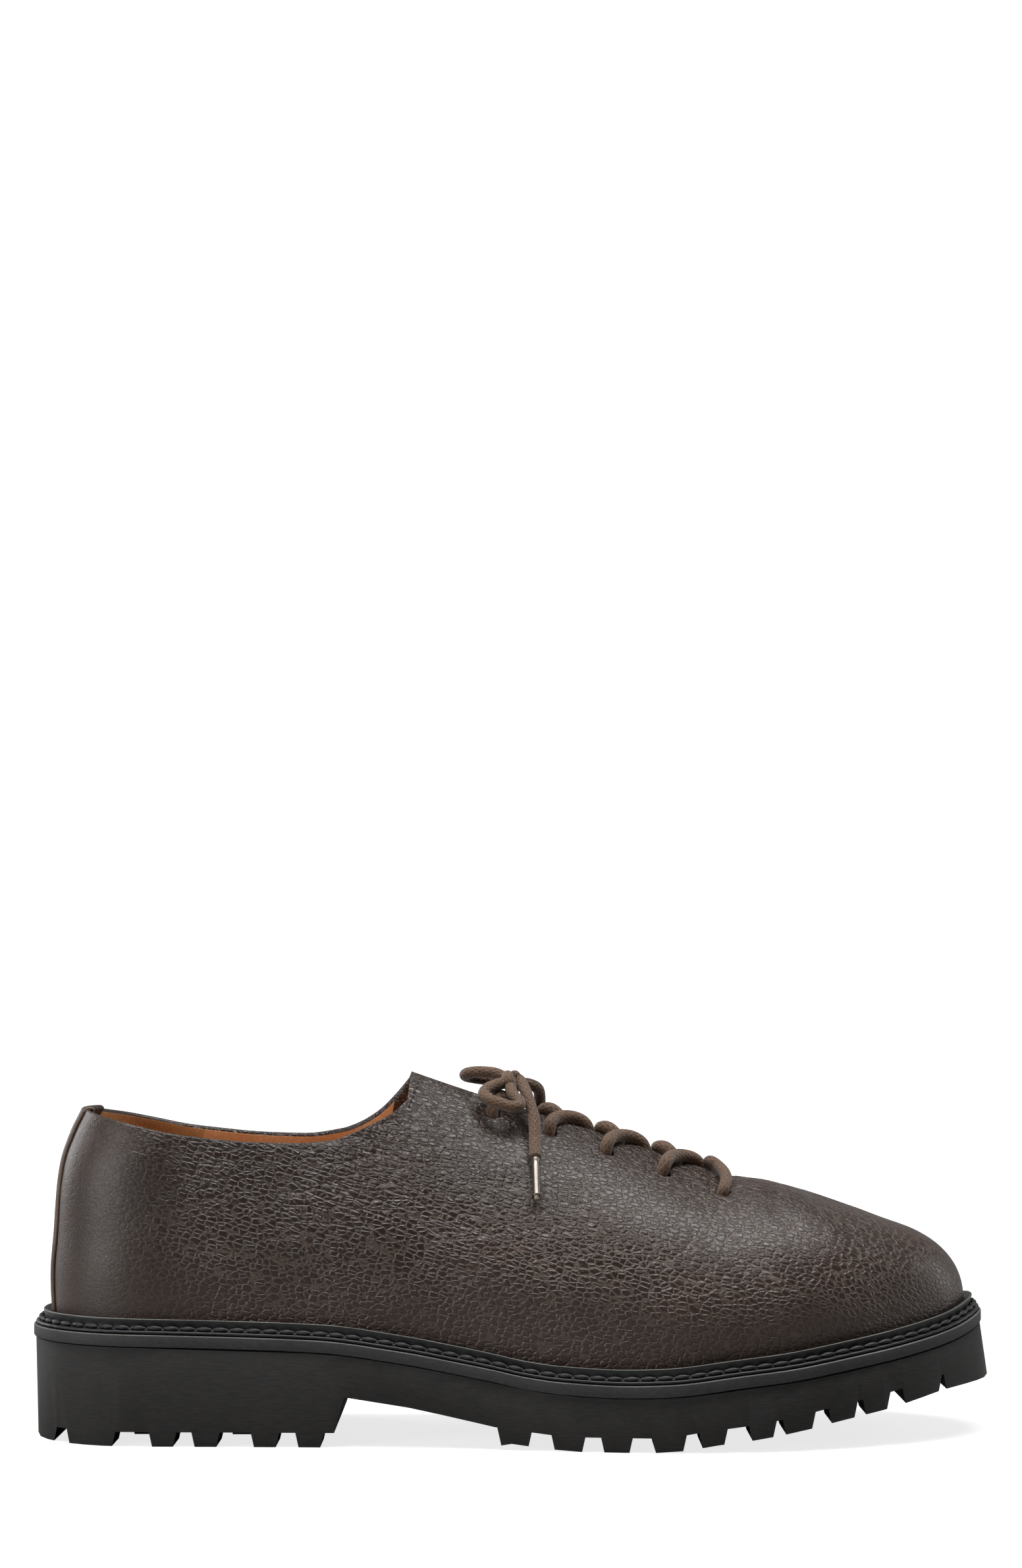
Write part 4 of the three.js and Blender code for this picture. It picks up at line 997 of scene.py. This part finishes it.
outsoleLook = {"join": 0.02, "flat": 0.02, "corner": 0.5, "sharp": 0.6}


# Outsole: the solid's own shape, its points joined and its corners rounded a little
def addOutsole():
    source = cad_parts["outsole"]
    mesh = source.data.copy()
    mesh.name = "outsole_rubber"
    work = bmesh.new()
    work.from_mesh(mesh)
    bmesh.ops.remove_doubles(work, verts=work.verts, dist=outsoleLook["join"] * milli)
    bmesh.ops.dissolve_limit(work, angle_limit=outsoleLook["flat"], verts=work.verts, edges=work.edges)
    work.to_mesh(mesh)
    work.free()
    mesh.materials.clear()
    mesh.materials.append(rubber)
    piece = bpy.data.objects.new("outsole_rubber", mesh)
    bpy.context.scene.collection.objects.link(piece)
    bevel = piece.modifiers.new("corners", "BEVEL")
    bevel.width, bevel.segments = outsoleLook["corner"] * milli, 2
    bevel.limit_method, bevel.angle_limit = "ANGLE", outsoleLook["sharp"]
    bevel.harden_normals = True
    mesh.polygons.foreach_set("use_smooth", [True] * len(mesh.polygons))
    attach(piece, "root")
    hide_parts("outsole")


addOutsole()
print("sole made")


# Inside: insole sock and tongue
insoleLook = {"thick": 2.8, "count": 150, "across": 24, "clear": 0.35, "edge": 0.9, "sunk": 0.5}


# Sock: flat across, following the foot of the inside wall, its edge turned up a little
def addInsole():
    share = bandEnd * np.clip((1 - np.cos(np.linspace(0, np.pi, insoleLook["count"]))) / 2, 0.0006, 0.9994)
    grow = -shell["wall"] - insoleLook["clear"]
    outer = upperPoint(share, 0.0, -1, grow)
    inner = upperPoint(share, 0.0, 1, grow)
    place = np.sin(np.linspace(-np.pi / 2, np.pi / 2, insoleLook["across"])) * 0.5 + 0.5
    top = outer[:, None] * (1 - place[None, :, None]) + inner[:, None] * place[None, :, None]
    rise = insoleLook["thick"] + insoleLook["edge"] * np.abs(place * 2 - 1) ** 6 - insoleLook["sunk"]
    low = top.copy()
    top[..., 2] += rise[None]
    ring = np.concatenate([top, low[:, ::-1]], 1)
    faces = gridFaces(len(share), ring.shape[1], wrapColumns=True).tolist()
    columns = ring.shape[1]
    last = (len(share) - 1) * columns
    faces += [list(range(columns))[::-1], list(range(last, last + columns))]
    piece = addPiece("insole_sock", ring, faces, lining, merge=0.001)
    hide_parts("insole")


addInsole()

tongueLook = {"thick": 1.6, "rows": 70, "across": 28, "lap": 6.0, "drop": 4.0, "start": 1.5, "clear": 0.45,
              "roundRows": 6}


# Tongue: a saddle that follows the inside of the facings, its corners rounded off
def addTongue():
    rows, across = tongueLook["rows"], tongueLook["across"]
    start, stop = shell["facing"] + tongueLook["start"], shell["throat"] + tongueLook["lap"]
    share = np.linspace(shareAt(start), shareAt(stop), rows)
    low = turnBelowRidge(share, tongueLook["drop"] * lacing["drop"])
    rounded = np.sqrt(np.clip(np.arange(rows) / tongueLook["roundRows"], 0, 1))
    low = 1 - (1 - low) * (0.8 + 0.2 * rounded)
    near = -shell["wall"] - tongueLook["clear"]
    sheets = []
    for grow in (near, near - tongueLook["thick"]):
        u = np.linspace(0, 1, across)
        left = upperPoint(share[:, None], low[:, None] + (1 - low[:, None]) * u[None], -1, grow)
        right = upperPoint(share[:, None], low[:, None] + (1 - low[:, None]) * u[None, ::-1], 1, grow)
        sheets.append(np.concatenate([left, right[:, 1:]], 1))
    ring = np.concatenate([sheets[0], sheets[1][:, ::-1]], 1)
    columns = ring.shape[1]
    faces = gridFaces(rows, columns, wrapColumns=True)
    wide = sheets[0].shape[1]
    column = np.tile(np.arange(columns), rows - 1)
    kind = np.where(column >= wide - 1, 1, 0)
    half = [[i, i + 1, columns - 2 - i, columns - 1 - i] for i in range(wide - 1)]
    last = (rows - 1) * columns
    ends = half + [[last + v for v in face[::-1]] for face in half]
    piece = addPiece("tongue_leather", ring, faces.tolist() + ends, [calf, lining], merge=0.001,
                     faceMaterials=np.concatenate([kind, np.zeros(len(ends), int)]))
    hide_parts("tongue")


addTongue()

stripLook = {"thick": 0.9, "lie": 0.1, "top": 20.0, "foot": 19.0, "low": 38.0, "rows": 90, "across": 44,
             "fold": 7.0, "below": 1.8, "under": 0.05, "roundFrom": 0.94, "sunk": 0.6, "crown": 1.1,
             "foldRows": 10, "overThick": 0.8, "downThick": 0.5}


# Share of the length where the section at a height is a given distance wide, by halving
def shareAtWidth(wide, z, grow):
    low, high = np.zeros_like(wide), np.full_like(wide, 0.3)
    for _ in range(40):
        middle = (low + high) / 2
        point = upperPoint(middle, turnAtHeight(middle, z, grow), 1, grow)
        reach = np.abs(point[..., 1] - middleLine(middle) * sole["ball"])
        high = np.where(reach > wide, middle, high)
        low = np.where(reach > wide, low, middle)
    return (low + high) / 2


# Back strip: the heel's own surface moved out, a little wider at the collar than at the welt, rounded along
# its sides, then folded over the collar and down the inside
def addBackStrip():
    look = stripLook
    top = shell["low"] + shell["back"] * collarRows[0][1] - look["below"]
    heights = np.linspace(look["low"], top, look["rows"])
    share = (heights - look["low"]) / (top - look["low"])
    wide = (look["foot"] + (look["top"] - look["foot"]) * share) / 2
    u = np.linspace(-1, 1, look["across"])
    offset = wide[:, None] * u[None]
    z = np.broadcast_to(heights[:, None], offset.shape)
    sheets = []
    past = np.maximum(0, (np.abs(u) - look["roundFrom"]) / 0.06)
    edge = np.sqrt(np.maximum(0, 1 - past ** 2))
    base = look["under"]
    for grow in (base + (look["lie"] + look["thick"] - base) * edge[None], base):
        grow = np.broadcast_to(grow, offset.shape)
        at = shareAtWidth(np.abs(offset), z, grow)
        point = upperPoint(at, turnAtHeight(at, z, grow), np.sign(offset), grow)
        point[..., 1] = middleLine(at) * sole["ball"] + offset
        sheets.append(point)
    outer, under = sheets
    # Over the collar: half a turn about the wall's edge, then down inside
    sunk = -shell["wall"] - look["sunk"]
    at = shareAtWidth(np.abs(offset), z, sunk)
    inside = upperPoint(at, turnAtHeight(at, z, sunk), np.sign(offset), sunk)
    inside[..., 1] = offset + middleLine(0) * sole["ball"]
    crest = outer[-1]
    far = inside[-1]
    phi = np.linspace(0, np.pi, look["foldRows"])[1:-1, None, None]
    over = (crest + far) / 2 + (crest - far) / 2 * np.cos(phi) + np.array([0, 0, look["crown"]]) * np.sin(phi)
    down = inside[::-1][: int(look["rows"] * look["fold"] / (top - look["low"]))]
    grid = np.concatenate([outer, over, down])
    below = np.concatenate([under, over - np.array([0, 0, look["overThick"]]),
                            down - np.array([look["downThick"], 0, 0])])
    ring = np.concatenate([grid, below[:, ::-1]], 1)
    faces = gridFaces(len(ring), ring.shape[1], wrapColumns=True).tolist()
    columns = ring.shape[1]
    last = (len(ring) - 1) * columns
    faces += [list(range(columns))[::-1], list(range(last, last + columns))]
    column = np.tile(np.arange(columns), len(ring) - 1)
    beside = np.minimum(column % look["across"], look["across"] - 1 - column % look["across"])
    finish = np.concatenate([np.where(beside < 1, 1, 0), [0, 0]])
    piece = addPiece("back_strip_leather", ring, faces, [calf, calfEdge], merge=0.001,
                     faceMaterials=finish)
    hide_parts("back_strip")


addBackStrip()
print("inside and back strip made")


# Floor, backdrop and light
studio = {"paper": "#a9a8a7", "glow": 0.78, "farGlow": 0.97, "flat": 2300.0, "bend": 500.0, "wall": 2600.0,
          "fill": 0.03, "rings": 12, "sides": 64, "fibre": "#a3a2a1"}


# Pale paper, matt and even. Its glow shows in the picture, more so away from the shoe, and lights nothing.
def backdropPaper():
    material, tree = newMaterial("backdropPaper")
    place = put(tree, "ShaderNodeTexCoord").outputs["Object"]
    fibre = put(tree, "ShaderNodeTexNoise", {"Vector": place, "Scale": 400.0, "Detail": 2.0})
    tone = put(tree, "ShaderNodeMix", {"Factor": fibre.outputs["Fac"], 6: hexColour(studio["fibre"]),
                                       7: hexColour(studio["paper"])}, data_type="RGBA")
    away = put(tree, "ShaderNodeVectorMath", {0: place}, operation="LENGTH")
    level = put(tree, "ShaderNodeMapRange", {"Value": away.outputs["Value"], "From Min": 0.25, "From Max": 1.1,
                                             "To Min": studio["glow"], "To Max": studio["farGlow"]})
    seen = put(tree, "ShaderNodeLightPath").outputs["Is Camera Ray"]
    glow = put(tree, "ShaderNodeMath", {0: seen, 1: level.outputs[0]}, operation="MULTIPLY")
    shader = put(tree, "ShaderNodeBsdfPrincipled", {"Base Color": tone.outputs[2], "Roughness": 0.9,
                                                    "Specular IOR Level": 0.1, "Emission Color": (1, 1, 1, 1),
                                                    "Emission Strength": glow.outputs[0]})
    put(tree, "ShaderNodeOutputMaterial", {"Surface": shader.outputs[0]})
    return material


# Round floor that bends up into a wall: a profile of radius and height turned about the middle
rings, sides, reach = studio["rings"], studio["sides"], studio["flat"] + studio["bend"]
swing = np.linspace(0.1, np.pi / 2, rings)
radius = np.concatenate([np.linspace(10, studio["flat"], rings), studio["flat"] + studio["bend"] * np.sin(swing),
                         np.full(3, reach)])
high = np.concatenate([np.zeros(rings), studio["bend"] * (1 - np.cos(swing)),
                       studio["bend"] + np.linspace(400, studio["wall"], 3)])
turn = np.linspace(0, 2 * np.pi, sides, endpoint=False)[None]
radius, high = radius[:, None], high[:, None]
bowl = np.stack(np.broadcast_arrays(radius * np.cos(turn), radius * np.sin(turn), high), -1)
mesh = bpy.data.meshes.new("floor")
bowlFaces = gridFaces(len(radius), sides, wrapColumns=True)[:, ::-1].tolist() + [list(range(sides))]
mesh.from_pydata((bowl.reshape(-1, 3) * milli).tolist(), [], bowlFaces)
mesh.materials.append(backdropPaper())
mesh.polygons.foreach_set("use_smooth", [True] * len(mesh.polygons))
floor = bpy.data.objects.new("floor", mesh)
bpy.context.scene.collection.objects.link(floor)

world = bpy.data.worlds.new("studio")
world.use_nodes = True
world.node_tree.nodes["Background"].inputs["Color"].default_value = (1, 1, 1, 1)
world.node_tree.nodes["Background"].inputs["Strength"].default_value = studio["fill"]
bpy.context.scene.world = world


def addLight(name, place, target, size, power):
    data = bpy.data.lights.new(name, "AREA")
    data.shape = "RECTANGLE"
    data.size, data.size_y = size
    data.energy = power
    light = bpy.data.objects.new(name, data)
    light.location = place
    light.rotation_euler = (Vector(target) - Vector(place)).to_track_quat("-Z", "Y").to_euler()
    bpy.context.scene.collection.objects.link(light)


# Place and target in metres, size in metres, power in watts
addLight("overhead", (0.0, -0.12, 1.1), (-0.02, 0, 0.05), (1.25, 0.5), 17)
addLight("heelSide", (-1.2, -0.75, 0.3), (-0.12, 0, 0.06), (0.7, 0.5), 8)
addLight("heelRim", (-1.0, 0.7, 0.4), (-0.15, 0, 0.06), (0.3, 0.6), 4)
addLight("toeRim", (1.1, 0.3, 0.35), (0.14, 0, 0.05), (0.3, 0.6), 2.5)
addLight("backdrop", (0.0, 0.9, 1.6), (0, 2.6, 0.6), (2.4, 0.4), 40)
bpy.context.scene.view_settings.view_transform = "Standard"
print("studio lit")
